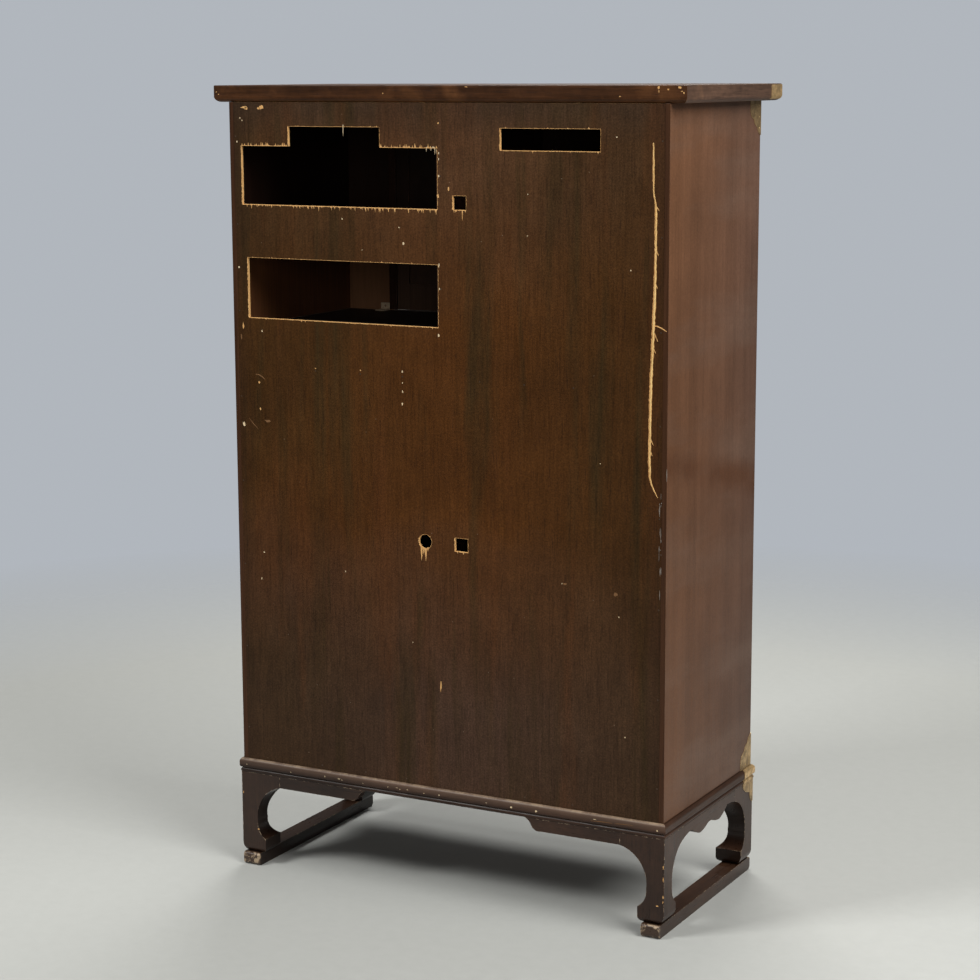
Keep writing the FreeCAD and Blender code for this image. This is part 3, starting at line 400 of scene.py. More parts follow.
def back_stain(coat, axis):
    """Warm in the middle of the back, greyer above and below with a painted sheen, darker and greyer in a
    band under the top, darker towards both sides, towards the left as painted shade.
    """
    level = coat.plus(axis[2], coat.times(coat.patches(4, 4, 0.6), 0.35))
    # Painted sheen: greyer above and below the warm middle.
    coat.colour = coat.mixed(coat.ranged(level, *FADE_ABOVE), BACK_WARM, BACK_SHEEN_ABOVE)
    coat.lay(coat.ranged(level, *FADE_BELOW), BACK_SHEEN_BELOW)
    off_warm = coat.ranged(coat.size(coat.minus(axis[2], WARM_LEVEL)), *WARM_REACH)
    coat.lay(coat.times(coat.ranged(axis[0], *FADE_RIGHT, 0, 0.56), off_warm), BACK_DEEP)
    # Painted shade towards the left.
    coat.lay(coat.ranged(axis[0], *SHADE_TOWARDS_LEFT), BACK_DEEP, 0.46)
    # Darker and greyer in a band just under the top.
    coat.lay(coat.ranged(axis[2], TOP_LEVEL - 75 * MM, TOP_LEVEL - 10 * MM), BACK_UNDER_TOP, 0.7)
    flitch = coat.grain((0.8, 1, 0.05), 9.4)["Figure"]
    coat.lay(coat.ranged(flitch, 0.5, 0.05), BACK_GREEN, 0.72)
    bloom = coat.grain((0.5, 1, 0.05), 21.7)["Figure"]
    coat.lay(coat.ranged(bloom, 0.55, 0.95), BACK_RED, 0.36)
    coat.shade(coat.clouds(7, 6, 0.7), 0.8, 1.2)
    coat.shade(coat.clouds(330, 3, 0.7), 0.64, 1.34)


def back_veneer():
    """Dark stained plywood with an upright grain, cloudy and streaked, bare where it was sawn through."""
    coat = Finish("back_veneer")
    axis = coat.axes(coat.place)
    back_stain(coat, axis)
    grain = coat.grain(GRAIN["z"], 3.1)
    coat.shade(grain["Fibre"], 0.76, 1.22)
    coat.lay(grain["Pores"], PORE, 0.45)
    aside = coat.size(axis[0])
    coat.lay(coat.ranged(aside, *FADE_RIM), BACK_RIM, 0.35)
    coat.lay(coat.specks(24, 0.04, 0.1), BACK_SPECK)
    coat.lay(coat.specks(90, 0.1, 0.035), BACK_DUST, 0.5)
    edgewise = coat.ranged(coat.size(coat.axes(coat.facing)[1]), 0.75, 0.45)
    sawn = coat.times(edgewise, coat.ranged(aside, PANEL_X - 1 * MM, PANEL_X - 2 * MM))
    plies = coat.math("SINE", coat.times(axis[1], math.tau / PLY))
    layers = coat.ranged(coat.plus(plies, coat.patches(700, 2)), -0.4, 0.9)
    coat.lay(sawn, coat.mixed(layers, *BARE))
    shine = coat.sheen(grain, 12, 4, 0.4, 0.6)
    coat.surface(coat.most(shine, coat.times(sawn, 0.85)), 0.08)
    coat.open_grain(grain, 0.5, 0.3, 0.4 * MM)


# The side's dark and light stripes: towards the rear, towards the front, on its rear edge and inside, where
# the dark above and the brown below are painted shade and light.
SIDE_REAR = (rgb(0.141, 0.063, 0.03), rgb(0.182, 0.083, 0.041))
SIDE_FORE = (rgb(0.09, 0.047, 0.031), rgb(0.119, 0.063, 0.042))
SIDE_EDGE = (rgb(0.03, 0.011, 0.004), rgb(0.07, 0.027, 0.01))
SIDE_LINING = (rgb(0.012, 0.005, 0.003), rgb(0.125, 0.05, 0.02))
SIDE_SHEEN, SIDE_SPECK, SMUDGE = rgb(0.15, 0.096, 0.07), rgb(0.4, 0.3, 0.2), rgb(0.084, 0.031, 0.012)
# A slanting smudge across the side: its level in metres, its rise over its length and its half width.
SMUDGE_LEVEL, SMUDGE_RISE, SMUDGE_REACH = 0.852, 0.2, (42 * MM, 8 * MM)


def side_veneer():
    """Satin brown veneer with faint ribbon stripes and greyish bands of painted sheen, dark on its rear
    edge and inside the cabinet, with painted shade and light on the lining inside.
    """
    coat = Finish("side_veneer")
    axis = coat.axes(coat.place)
    grain = coat.grain((1, 1, 0.02), 5.7)
    stripes = coat.grain((1, 1, 0.008), 2.2)["Figure"]
    rear, fore = coat.mixed(stripes, *SIDE_REAR), coat.mixed(stripes, *SIDE_FORE)
    coat.colour = coat.mixed(coat.ranged(axis[1], 0.2, -0.2), rear, fore)
    coat.shade(coat.ranged(axis[2], 1.4, 0.3), 1.03, 0.77)
    # Greyish bands across the side: a painted sheen.
    flattened = coat.node("Mapping", {"Vector": coat.place, "Scale": (1, 0.9, 4.2)})[0]
    sheen_drift = coat.noise(flattened, 1.6, 4, 0.6)
    coat.lay(coat.ranged(sheen_drift, 0.48, 0.66), SIDE_SHEEN, 0.42)
    slanted = coat.minus(axis[2], coat.times(axis[1], SMUDGE_RISE))
    smudge = coat.ranged(coat.size(coat.minus(slanted, SMUDGE_LEVEL)), *SMUDGE_REACH)
    coat.lay(coat.times(smudge, coat.ranged(coat.patches(9), 0.2, 0.55)), SMUDGE, 0.62)
    coat.shade(grain["Fibre"], 0.88, 1.12)
    coat.lay(grain["Pores"], PORE, 0.25)
    coat.shade(coat.clouds(4, 5, 0.62), 0.82, 1.16)
    coat.shade(coat.clouds(300, 3, 0.7), 0.84, 1.16)
    coat.lay(coat.rubbed_edges(1.6 * MM, 30, 0.4), RUBBED, 0.7)
    coat.lay(coat.specks(26, 0.05, 0.03), SIDE_SPECK)
    turned = coat.turned("in")
    coat.lay(turned["Inside"], coat.mixed(grain["Fibre"], *SIDE_EDGE))
    # The lining inside: painted shade above the upper shelf and painted light below it.
    inward = coat.ranged(coat.times(coat.axes(coat.facing)[0], axis[0]), -0.15, -0.3)
    lining = coat.mixed(turned["Brown"], *SIDE_LINING)
    coat.lay(inward, coat.shaded(lining, grain["Fibre"], 0.6, 1.4))
    coat.surface(coat.sheen(grain, 7, 5, 0.36, 0.54), 0.2)
    coat.open_grain(grain, 0.4, 0.2, 0.3 * MM)


BURR, BURR_EYE = (rgb(0.082, 0.034, 0.013), rgb(0.178, 0.082, 0.031)), rgb(0.03, 0.012, 0.006)


def figured_veneer():
    """Burr veneer for the panels of the front: swirling bands with small dark eyes, plain dark inside."""
    coat = Finish("figured_veneer")
    swirl = coat.patches(8, 5, 0.55, 2.2)
    rings = coat.math("SINE", coat.times(swirl, 58))
    hairs = coat.math("SINE", coat.times(swirl, 250))
    tone = coat.plus(coat.times(rings, 0.6), coat.times(hairs, 0.4))
    coat.colour = coat.mixed(coat.ranged(tone, -0.9, 1), *BURR)
    coat.shade(coat.clouds(5, 4, 0.6, 1), 0.62, 1.3)
    coat.shade(coat.clouds(90, 4, 0.7), 0.8, 1.2)
    eyes = coat.specks(75, 0.24, 0.2)
    coat.lay(eyes, BURR_EYE, 0.75)
    # Painted shade in the corners and grooves of the panel.
    coat.lay(coat.recess(20 * MM), CORNER_SHADE, 0.6)
    coat.line(INSIDE, coat.patches(60, 4))
    coat.surface(coat.ranged(swirl, 0.2, 0.8, 0.26, 0.42), 0.35)
    coat.bump(coat.minus(coat.times(tone, 0.2), eyes), 0.12, 0.3 * MM)


BARE_PORE = rgb(0.2, 0.09, 0.03)


def bare_wood(name, deep, pale):
    """Raw wood where the veneer has torn away: dry and stringy."""
    coat = Finish(name)
    grain = coat.grain((2.4, 2.4, 0.1), 1.3)
    coat.colour = coat.mixed(grain["Fibre"], deep, pale)
    coat.lay(grain["Pores"], BARE_PORE, 0.5)
    coat.surface(coat.ranged(grain["Fibre"], 0, 1, 0.72, 0.9), 0.1)
    coat.bump(grain["Fibre"], 0.6, 0.6 * MM)


BOARD = (rgb(0.014, 0.007, 0.005), rgb(0.034, 0.017, 0.011))
BOARD_DUST, GATHERED_DUST = rgb(0.15, 0.12, 0.098), rgb(0.46, 0.4, 0.34)


def dusty_board():
    """The board under the lower cut-out: dark stain with grey dust lying on its upper face."""
    coat = Finish("dusty_board")
    axis = coat.axes(coat.place)
    grain = coat.grain(GRAIN["x"], 8.8)
    coat.colour = coat.mixed(grain["Fibre"], *BOARD)
    upward = coat.ranged(coat.axes(coat.facing)[2], 0.5, 0.9)
    drifts = coat.ranged(coat.patches(26, 6, 0.7), 0.35, 0.75, 0.15, 0.75)
    coat.lay(coat.times(upward, drifts), BOARD_DUST)
    by_side = coat.ranged(coat.size(axis[0]), INNER_X - 7 * MM, INNER_X - 2 * MM)
    by_front = coat.ranged(axis[1], DOOR_BACK_Y + 6 * MM, DOOR_BACK_Y + 2 * MM)
    coat.lay(coat.times(coat.most(by_side, by_front), upward), GATHERED_DUST, 0.8)
    coat.surface(coat.ranged(drifts, 0.15, 0.75, 0.5, 0.85), 0.15)
    coat.bump(grain["Fibre"], 0.2, 0.3 * MM)


BRASS_BRIGHT, BRASS_RUBBED = rgb(0.9, 0.61, 0.29), rgb(0.92, 0.68, 0.34)
BRASS_DULL, BRASS_SPOT = rgb(0.29, 0.195, 0.105), rgb(0.13, 0.085, 0.04)
BRASS_CORNER_SHADE = rgb(0.07, 0.045, 0.022)


def aged_brass():
    """Old brass: brown in the open, rubbed bright along the edges, darker away from the caps as a painted
    shade, and with painted shade in its corners.
    """
    coat = Finish("aged_brass")
    level = coat.axes(coat.place)[2]
    on_top, above_stand, past_moulding = (
        coat.ranged(level, edge - 1 * MM, edge + 1 * MM) for edge in (TOP_LEVEL, STAND_LEVEL, STAND_HEIGHT))
    on_moulding = coat.times(above_stand, coat.minus(1, past_moulding))
    stain = coat.ranged(coat.patches(55, 6, 0.7, 0.6), 0.35, 0.68)
    rubbed = coat.rubbed_edges(1.2 * MM, 60, 0.75)
    coat.colour = BRASS_BRIGHT
    coat.lay(stain, BRASS_DULL, 0.9)
    # Painted shade: darker everywhere but on the caps at the top and on the moulding.
    coat.shade(coat.most(on_top, on_moulding), 0.64, 1)
    coat.shade(coat.clouds(90, 5, 0.7), 0.6, 1.3)
    coat.lay(coat.specks(420, 0.45, 0.3), BRASS_SPOT, 0.45)
    # Painted shade in the corners.
    coat.lay(coat.recess(6 * MM), BRASS_CORNER_SHADE, 0.6)
    coat.lay(rubbed, BRASS_RUBBED)
    rough = coat.ranged(coat.plus(stain, coat.patches(300, 3)), 0.3, 1.5, 0.28, 0.55)
    coat.surface(coat.minus(rough, coat.times(rubbed, 0.12)), metal=0.7)
    coat.bump(coat.patches(160, 4, 0.6), 0.15, 0.4 * MM)


RUST = rgb(0.13, 0.055, 0.022)


def dull_steel(name, fresh, aged, metal):
    """Plated steel gone dull, with brown specks."""
    coat = Finish(name)
    bloom = coat.ranged(coat.patches(120, 5, 0.65), 0.35, 0.7)
    coat.colour = coat.mixed(bloom, fresh, aged)
    coat.lay(coat.specks(500, 0.4, 0.25), RUST, 0.7)
    coat.surface(coat.ranged(bloom, 0, 1, 0.38, 0.6), metal=metal)
    coat.bump(bloom, 0.2, 0.2 * MM)


CONCRETE = (rgb(0.448, 0.463, 0.446), rgb(0.474, 0.489, 0.472))
# The floor is a disc that is whole up to the second distance from its middle and gone from the first.
FLOOR_RADIUS, FLOOR_FADE = 4, (3.4, 1.9)


def pale_floor():
    """Pale sealed concrete that fades out towards its rim."""
    coat = Finish("pale_floor")
    grit = coat.clouds(38, 6, 0.7)
    coat.colour = coat.mixed(grit, *CONCRETE)
    coat.surface(coat.ranged(grit, 0, 1, 0.62, 0.68))
    out = coat.node("VectorMath", {0: coat.place}, operation="LENGTH")["Value"]
    coat.tree.links.new(coat.ranged(out, *FLOOR_FADE), coat.sockets["Alpha"])


# Stains of the woods, with how smooth, glossy and worn they are, and how strong the painted shade in their
# corners is.
# The stand's under colour is a painted shade for its faces under the cabinet.
STAND = dict(
    dark=rgb(0.017, 0.0072, 0.004), light=rgb(0.06, 0.0275, 0.015), offset=1.7, rough=0.3, gloss=0.34,
    wear=0.46, wear_width=1.6 * MM, worn=CREAM, patch=120.0, specks=0.03, corner_shade_share=0.6,
    under=rgb(0.006, 0.003, 0.002), painted_shade_across=0.72)
MOULDING = dict(STAND, wear=0.22, rough=0.4, gloss=0.26)
RUNNER = dict(STAND, light=rgb(0.082, 0.039, 0.021))
TOP = dict(
    dark=rgb(0.012, 0.005, 0.002), light=rgb(0.088, 0.033, 0.0115), offset=4.3, rough=0.4, gloss=0.14,
    wear=0.45, patch=70.0, glow=rgb(0.14, 0.056, 0.019))
# The side lippings: the top's stain made lighter and greyer as a painted sheen, and glossier.
TOP_SIDE_SHEEN = dict(
    TOP, light=rgb(0.146, 0.08, 0.051), glow=rgb(0.19, 0.1, 0.055), gloss=0.55, rough=0.34)
FRONT = dict(
    dark=rgb(0.055, 0.024, 0.012), light=rgb(0.125, 0.06, 0.03), offset=6.1, rough=0.36, gloss=0.3,
    # The front's dust colour is partly a painted highlight on its up-facing ledges.
    dust=rgb(0.24, 0.2, 0.165))
INNER = dict(
    dark=rgb(0.026, 0.011, 0.007), light=rgb(0.062, 0.028, 0.017), offset=8.8, rough=0.5, gloss=0.15,
    wear=0.2, wear_width=1.0 * MM, worn=rgb(0.2, 0.11, 0.06), specks=0.08)
# Deep and pale tones of what lies bare under the stain.
RAW_WOODS = {
    "bare_wood": BARE,
    "torn_core": (rgb(0.78, 0.48, 0.17), rgb(0.98, 0.74, 0.34)),
    "torn_bed": (rgb(0.3, 0.13, 0.04), rgb(0.62, 0.34, 0.12)),
    "pale_chips": (rgb(0.62, 0.44, 0.23), rgb(0.94, 0.8, 0.56)),
    "grey_scuffs": (rgb(0.11, 0.09, 0.075), rgb(0.34, 0.3, 0.26)),
    "faint_marks": (rgb(0.13, 0.062, 0.024), rgb(0.26, 0.14, 0.066)),
}
# Fresh tone, aged tone and share of bare metal.
STEELS = {
    "dull_steel": (rgb(0.21, 0.2, 0.185), rgb(0.12, 0.11, 0.1), 0.6),
    "stained_pins": (rgb(0.075, 0.042, 0.022), rgb(0.04, 0.022, 0.012), 0.3),
    "plated_steel": (rgb(0.88, 0.7, 0.48), rgb(0.6, 0.46, 0.3), 0.1),
}

back_veneer()
side_veneer()
figured_veneer()
dusty_board()
aged_brass()
pale_floor()
for name, tones in RAW_WOODS.items():
    bare_wood(name, *tones)
for name, metal in STEELS.items():
    dull_steel(name, *metal)
wood("runner_wood", along="y", end_wear=cad_high.y, **RUNNER)
wood("moulding_wood_x", along="x", crown_wear_and_highlight=STAND_HEIGHT, **MOULDING)
wood("moulding_wood_y", along="y", **MOULDING)
wood("top_wood", along="x", **TOP)
wood("top_side_sheen_wood", along="y", **TOP_SIDE_SHEEN)
wood("post_wood", along="z", inside=POST_INSIDE, **FRONT)
for axis in "xyz":
    wood(f"stand_wood_{axis}", along=axis, **STAND)
    wood(f"inner_wood_{axis}", along=axis, **INNER)
for axis in "xz":
    wood(f"front_wood_{axis}", along=axis, inside=INSIDE, **FRONT)


# Dressing the cabinet's own pieces

# Edges sharper than this are eased.
EASED_ANGLE = math.radians(32)


def dress(names, finish, ease=0.0):
    """Gives pieces their finish and, where asked, edges eased by so many millimetres."""
    for name in names:
        piece = nodes[name]
        for slot in piece.material_slots:
            slot.material = FINISHES[finish]
        if ease:
            joined = piece.modifiers.new("joined", "WELD")
            joined.merge_threshold = 0.01 * MM
            eased = piece.modifiers.new("eased", "BEVEL")
            eased.width = ease * MM
            eased.segments = 2
            eased.limit_method = "ANGLE"
            eased.angle_limit = EASED_ANGLE
            even = piece.modifiers.new("even", "WEIGHTED_NORMAL")
            even.keep_sharp = False


def both(name):
    """A piece's names on the left and on the right."""
    return [name.format(side) for side in SIDES]


dress(["back_panel"], "back_veneer")
dress(["back_pins"], "stained_pins")
dress(["door_catches"], "dull_steel")
dress(["front_brackets"], "plated_steel")
dress(both("side_panel_{}"), "side_veneer", 0.8)
dress(["top_board", "top_lipping_front", "top_lipping_back"], "top_wood", 0.6)
dress(both("top_lipping_{}"), "top_side_sheen_wood", 0.6)
dress(["stand_moulding_front", "stand_moulding_back"], "moulding_wood_x", 0.5)
dress(both("stand_moulding_{}"), "moulding_wood_y", 0.5)
dress(["front_apron", *both("rear_spandrel_{}")], "stand_wood_x", 0.8)
dress(both("side_apron_{}"), "stand_wood_y", 0.8)
dress(both("runner_{}"), "runner_wood", 6.0)
dress(both("front_{}_leg") + both("rear_{}_leg"), "stand_wood_z", 1.4)
dress(both("front_stile_{}"), "post_wood", 0.7)
dress([f"{door}_frame" for door in DOORS], "front_wood_z", 0.7)
dress(["front_top_rail", *both("{}_drawer_front")], "front_wood_x", 0.7)
dress([f"{door}_panel" for door in DOORS], "figured_veneer")
dress(["tier_board"], "dusty_board", 0.4)
dress(["bottom_board", "drawer_board", "upper_shelves", "lower_shelves"], "inner_wood_x", 0.4)
dress(["drawer_guides", *both("{}_drawer_box")], "inner_wood_y", 0.4)
dress(["centre_divider"], "inner_wood_z", 0.4)
dress(["corner_brass", "hinge_leaves_and_pins", *both("{}_drawer_knob")], "aged_brass")
dress([f"{door}_{part}" for door in DOORS for part in ("fittings", "ring")], "aged_brass")


# Loose marks and small fittings

def placed(name, data):
    """Puts an object into the scene."""
    thing = bpy.data.objects.new(name, data)
    bpy.context.scene.collection.objects.link(thing)
    return thing


def meshed(name, work, material):
    """Turns finished mesh work into an object of one material."""
    mesh = bpy.data.meshes.new(name)
    work.to_mesh(mesh)
    work.free()
    mesh.materials.append(material)
    return placed(name, mesh)


def add_piece(name, work, body, finish):
    """Turns finished mesh work into a piece that rides on a body."""
    bmesh.ops.recalc_face_normals(work, faces=work.faces)
    piece = meshed(name, work, FINISHES[finish])
    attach(piece, body)
    return piece


def add_mark(name, work, finish):
    """A piece of the cabinet's own wood."""
    add_piece(name, work, "cabinet", finish)


def slab_of(work, rim, lift, sink):
    """A thin closed slab between two copies of a rim, one moved along lift and the other against sink."""
    top = [work.verts.new(p + lift) for p in rim]
    low = [work.verts.new(p - sink) for p in rim]
    work.faces.new(top)
    work.faces.new(low[::-1])
    for i in range(len(rim)):
        j = (i + 1) % len(rim)
        work.faces.new((top[j], top[i], low[i], low[j]))


def cut_outline():
    """Edges of the openings on the back's outer face, each with the direction into the wood beside it."""
    mesh = nodes["back_panel"].data
    low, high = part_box("back_panel")
    uses = {}
    for face in mesh.polygons:
        if face.normal.y < 0.9:
            continue
        corners = [tuple(round(c, 5) for c in mesh.vertices[v].co) for v in face.vertices]
        for a, b in zip(corners, corners[1:] + corners[:1]):
            uses.setdefault(frozenset((a, b)), []).append((Vector(a), Vector(b), face.center.copy()))
    for found in uses.values():
        a, b, centre = found[0]
        middle = (a + b) / 2
        outer = min(middle.x - low.x, high.x - middle.x, middle.z - low.z, high.z - middle.z) < MM
        if len(found) > 1 or outer:
            continue
        into_wood = (b - a).cross(Vector((0, 1, 0))).normalized()
        if into_wood.dot(centre - middle) < 0:
            into_wood.negate()
        yield a, b, into_wood


# Ragged rims of the openings, in millimetres: thinnest, thickest, chance of a splinter, longest one.
RAGGED = {
    "left": (0, 0.8, 0, 0), "right": (0.5, 2.2, 0, 0),
    "above": (0.2, 0.8, 0.04, 3), "below": (0.4, 1.6, 0.03, 4.5),
    "first_foot": (0.5, 1.9, 0.15, 9), "shoulder": (0.5, 1.2, 0.24, 8),
}
# Levels of the stepped cut-out: the shoulder beside its step, and its foot.
SHOULDER, FIRST_FOOT = TOP_LEVEL - 84 * MM, TOP_LEVEL - 197 * MM
UPRIGHT_STEP, LEVEL_STEP = 2.5 * MM, 0.8 * MM
RIM_PROUD, RIM_SUNK = 0.3 * MM, 0.2 * MM


def rim_kind(a, b, into_wood):
    """Which kind of rim an edge of an opening has."""
    if max(abs(a.z - SHOULDER), abs(b.z - SHOULDER)) < MM:
        return "shoulder"
    if abs(into_wood.z) < 0.7:
        return "right" if into_wood.x > 0.7 else "left"
    if into_wood.z > 0:
        return "above"
    return "first_foot" if abs(a.z - FIRST_FOOT) < MM else "below"


def cut_edge_splinters():
    """The pale torn rim of each opening, with splinters along the grain above and below."""
    work = bmesh.new()
    out, sink = Vector((0, RIM_PROUD, 0)), Vector((0, RIM_SUNK, 0))
    edges = sorted(cut_outline(), key=lambda edge: (
        round(edge[0].z, 4), round(edge[0].x, 4), round(edge[1].x, 4), edge[1].z))
    for a, b, into_wood in edges:
        kind = rim_kind(a, b, into_wood)
        thin, thick, chance, longest = RAGGED[kind]
        count = max(2, round((b - a).length / (UPRIGHT_STEP if kind in SIDES else LEVEL_STEP)))
        reach = 0.0
        widths = []
        for _ in range(count + 1):
            reach *= dice.uniform(0.0, 0.55)
            if dice.random() < chance:
                reach = longest * dice.random() ** 2.0
            widths.append((dice.uniform(thin, thick) + reach) * MM)
        points = [a.lerp(b, i / count) for i in range(count + 1)]
        for i in range(count):
            rim = [points[i], points[i + 1], points[i + 1] + into_wood * widths[i + 1],
                   points[i] + into_wood * widths[i]]
            slab_of(work, rim, out, sink)
    add_mark("cut_edge_splinters", work, "bare_wood")


# How deep a ribbon is set into its face, in millimetres.
RIBBON_SUNK = 0.2


def ribbon(work, path, face_y, proud):
    """A thin ribbon laid on an upright face. Its path gives across, up and width in millimetres."""
    rows = []
    for i, (x, z, width) in enumerate(path):
        before, after = path[max(i - 1, 0)], path[min(i + 1, len(path) - 1)]
        along = Vector((after[0] - before[0], 0, after[1] - before[1])).normalized()
        half = Vector((along.z, 0, -along.x)) * width / 2
        rows.append((Vector((x, 0, z)) - half, Vector((x, 0, z)) + half))
    lift, sink = Vector((0, face_y + proud * MM, 0)), Vector((0, RIBBON_SUNK * MM - face_y, 0))
    for (a, b), (c, d) in zip(rows, rows[1:]):
        slab_of(work, [point * MM for point in (a, b, d, c)], lift, sink)


# Centre line of the long tear and its width, in millimetres: across, up, width.
LONG_TEAR = [
    (-437, 1479, 3.0), (-437.5, 1440, 5.0), (-438, 1392, 3.4), (-441, 1376, 3.6), (-443, 1362, 6.5),
    (-443, 1290, 6.0), (-442, 1218, 7.5), (-440, 1155, 7.5), (-439, 1128, 8.0), (-436, 1055, 7.5),
    (-434.5, 982, 7.0), (-434, 909, 7.5), (-435, 875, 6.0), (-438.5, 863, 4.0), (-444, 852, 3.0),
    (-451, 840, 1.2),
]
TEAR_STEP = 4.0
# Strands along the tear: how far aside and how wide, as shares of its width, and how proud in millimetres.
TEAR_CORE = (0.16, 0.36, 0.45)
TEAR_STRANDS = [(0.34, 0.12, 0.4), (-0.12, 0.18, 0.35), (-0.36, 0.1, 0.3)]
# Barbs hanging from the tear's outer side: up, reach, drop.
TEAR_BARBS = [
    (1366, 4, 7), (1288, 3, 9), (1228, 3, 8), (1142, 7, 17), (1112, 3, 8), (948, 5, 12), (925, 3, 9),
]
# A single fibre that pulled off sideways from the tear.
SIDE_FIBRE = [
    (-441, 1153.5, 2.2), (-447, 1153, 2.0), (-453, 1151, 1.9), (-460, 1147.5, 1.5), (-466, 1144, 0.8),
]


def tear_rows():
    """The tear's centre line at short steps, with ragged widths."""
    rows = []
    for (x0, z0, w0), (x1, z1, w1) in zip(LONG_TEAR, LONG_TEAR[1:]):
        pieces = max(2, round(abs(z1 - z0) / TEAR_STEP))
        for i in range(pieces):
            t = i / pieces
            x = x0 + (x1 - x0) * t + dice.uniform(-0.4, 0.4)
            rows.append((x, z0 + (z1 - z0) * t, (w0 + (w1 - w0) * t) * dice.uniform(0.66, 0.94)))
    return rows + [LONG_TEAR[-1]]


def strand(work, rows, aside, share, proud):
    """A strand of fibres along the tear."""
    path = []
    for x, z, width in rows:
        across = x - aside * width + dice.uniform(-0.3, 0.3)
        path.append((across, z, share * width * dice.uniform(0.7, 1.3)))
    ribbon(work, path, BACK_Y, proud)


def torn_strip():
    """A long strip of veneer torn off beside the edge: a tan bed with pale strands along it."""
    bed, core, strands = bmesh.new(), bmesh.new(), bmesh.new()
    rows = tear_rows()
    ribbon(bed, rows, BACK_Y, SCUFF_PROUD)
    strand(core, rows, *TEAR_CORE)
    for shape in TEAR_STRANDS:
        strand(strands, rows, *shape)
    for level, reach, drop in TEAR_BARBS:
        root = min(rows, key=lambda row: abs(row[1] - level))
        x = root[0] - root[2] / 2
        bend, tip = (x - reach * 0.35, level - drop * 0.5, 1.3), (x - reach, level - drop, 0.5)
        ribbon(strands, [(x + 1.0, level, 1.6), bend, tip], BACK_Y, 0.4)
    ribbon(strands, SIDE_FIBRE, BACK_Y, 0.5)
    add_mark("torn_bed", bed, "torn_bed")
    add_mark("torn_core", core, "torn_core")
    add_mark("torn_strands", strands, "bare_wood")


# Chips in the stain, in millimetres: across, up, width, height.
BACK_CHIPS = [
    (1, 1413, 3, 7), (1, 1202, 3, 6), (4, 1114, 5, 8), (2, 1246, 3, 9), (84, 1041, 4, 5),
    (84, 1019, 3, 4), (84, 1002, 3, 5), (85, 978, 4, 6), (79, 1285, 5, 5), (88, 1315, 3, 3),
    (-185, 1307, 3, 3), (-186, 1383, 2, 3), (218, 637, 2, 4), (-257, 661, 2, 3), (409, 658, 5, 3),
    (416, 603, 3, 5), (450, 915, 7, 10), (403, 1103, 4, 4), (67, 511, 2, 3), (-375, 609, 3, 3),
    (-389, 380, 3, 3), (-335, 894, 3, 2), (-394, 1251, 3, 3), (-365, 1488, 3, 3), (452, 1472, 3, 5),
    (454, 1227, 4, 5), (214, 1328, 4, 3), (170, 1270, 3, 2), (444, 1517, 3, 5), (439, 1513, 3, 3),
    (12, 1466, 6, 3), (24, 1466, 5, 2), (1, 1455, 3, 6), (1, 1444, 2, 5),
]
TAN_CHIPS = [
    (435, 1538, 17, 7), (430, 1536, 9, 6), (395, 1538, 14, 9), (400, 1536, 9, 5), (1, 1511, 4, 5),
    (3, 1376, 5, 9), (-20, 1390, 4, 8), (178, 1038, 3, 3), (280, 1036, 3, 3), (412, 1001, 5, 5),
    (411, 948, 4, 6), (447, 1112, 4, 15), (5, 430, 5, 22),
]
MOULDING_CHIPS = [
    (-152, 211, 6, 4), (-206, 211, 6, 4), (-459, 211, 5, 4), (270, 213, 2, 5), (237, 212, 6, 2),
    (230, 211, 3, 1), (123, 212, 3, 2), (103, 213, 6, 1), (96, 211, 3, 2), (79, 213, 3, 2),
    (41, 211, 3, 2), (7, 212, 2, 4), (458, 212, 3, 2), (-330, 214, 9, 1), (352, 210, 4, 1),
    (-98, 212, 4, 1), (181, 211, 2, 2),
]
LEG_CHIPS = [
    (-471, 140, 2, 8), (-471, 117, 2, 11), (-471, 83, 3, 9), (-471, 73, 2, 7), (-459, 63, 8, 4),
    (434, 76, 5, 4), (470, 150, 2, 6),
]
TOP_CHIPS = [
    (496, 1567, 4, 2), (491, 1563, 3, 2), (-447, 1576, 4, 6), (-448, 1569, 2, 6), (-466, 1572, 5, 4),
    (-488, 1576, 9, 6), (-496, 1566, 3, 4), (-492, 1569, 4, 2), (-372, 1560, 3, 2), (118, 1565, 3, 3),
    (-60, 1577, 6, 2),
]
# Patches of the back rubbed a little lighter.
RUBBED_BACK = [(395, 925, 15, 6), (-263, 661, 11, 6), (-368, 651, 13, 9), (452, 1090, 4, 20)]
# Fine scratches on the back and on the moulding, in millimetres: across, up, width.
BACK_SCRATCHES = [
    [(421, 1017, 0.8), (412, 1016, 2.0), (404, 1012, 2.0), (398, 1007, 0.8)],
    [(438, 928, 0.5), (428, 917, 1.4), (417, 908, 0.5)],
]
MOULDING_SCRATCHES = [
    [(-322, 210, 0.5), (-344, 211.5, 1.4), (-366, 212, 0.6)],
    [(-372, 212, 0.5), (-390, 213.5, 1.2), (-410, 214, 0.5)],
]
# Flecks down the rear corner on the torn side: across, top, bottom.
CORNER_SCUFFS = [(-457.5, 866, 650), (-456.5, 830, 690), (-467.5, 894, 862)]
# Slivers of veneer torn down from the cable holes: across, top, length, width.
BACK_SLIVERS = [
    (-49, 1351, 20, 2), (45, 704, 29, 4.8), (35.5, 701, 26, 4.4), (40, 702, 14, 4.4), (31, 703, 8, 3.4),
    (-47, 701, 5, 3),
]
# Bleached slivers over the top of the first cut-out and in its corner by the middle.
PALE_SLIVERS = [
    (209, 1506, 23, 1.5), (27, 1466, 9, 1.3), (17, 1466, 7, 1.6), (9, 1465, 13, 1.1), (6, 1462, 8, 1.2),
]
CHIP_CORNERS = 9
# How far thin marks stand out from the face, in millimetres.
CHIP_PROUD, SLIVER_PROUD, SCUFF_PROUD = 0.12, 0.24, 0.15


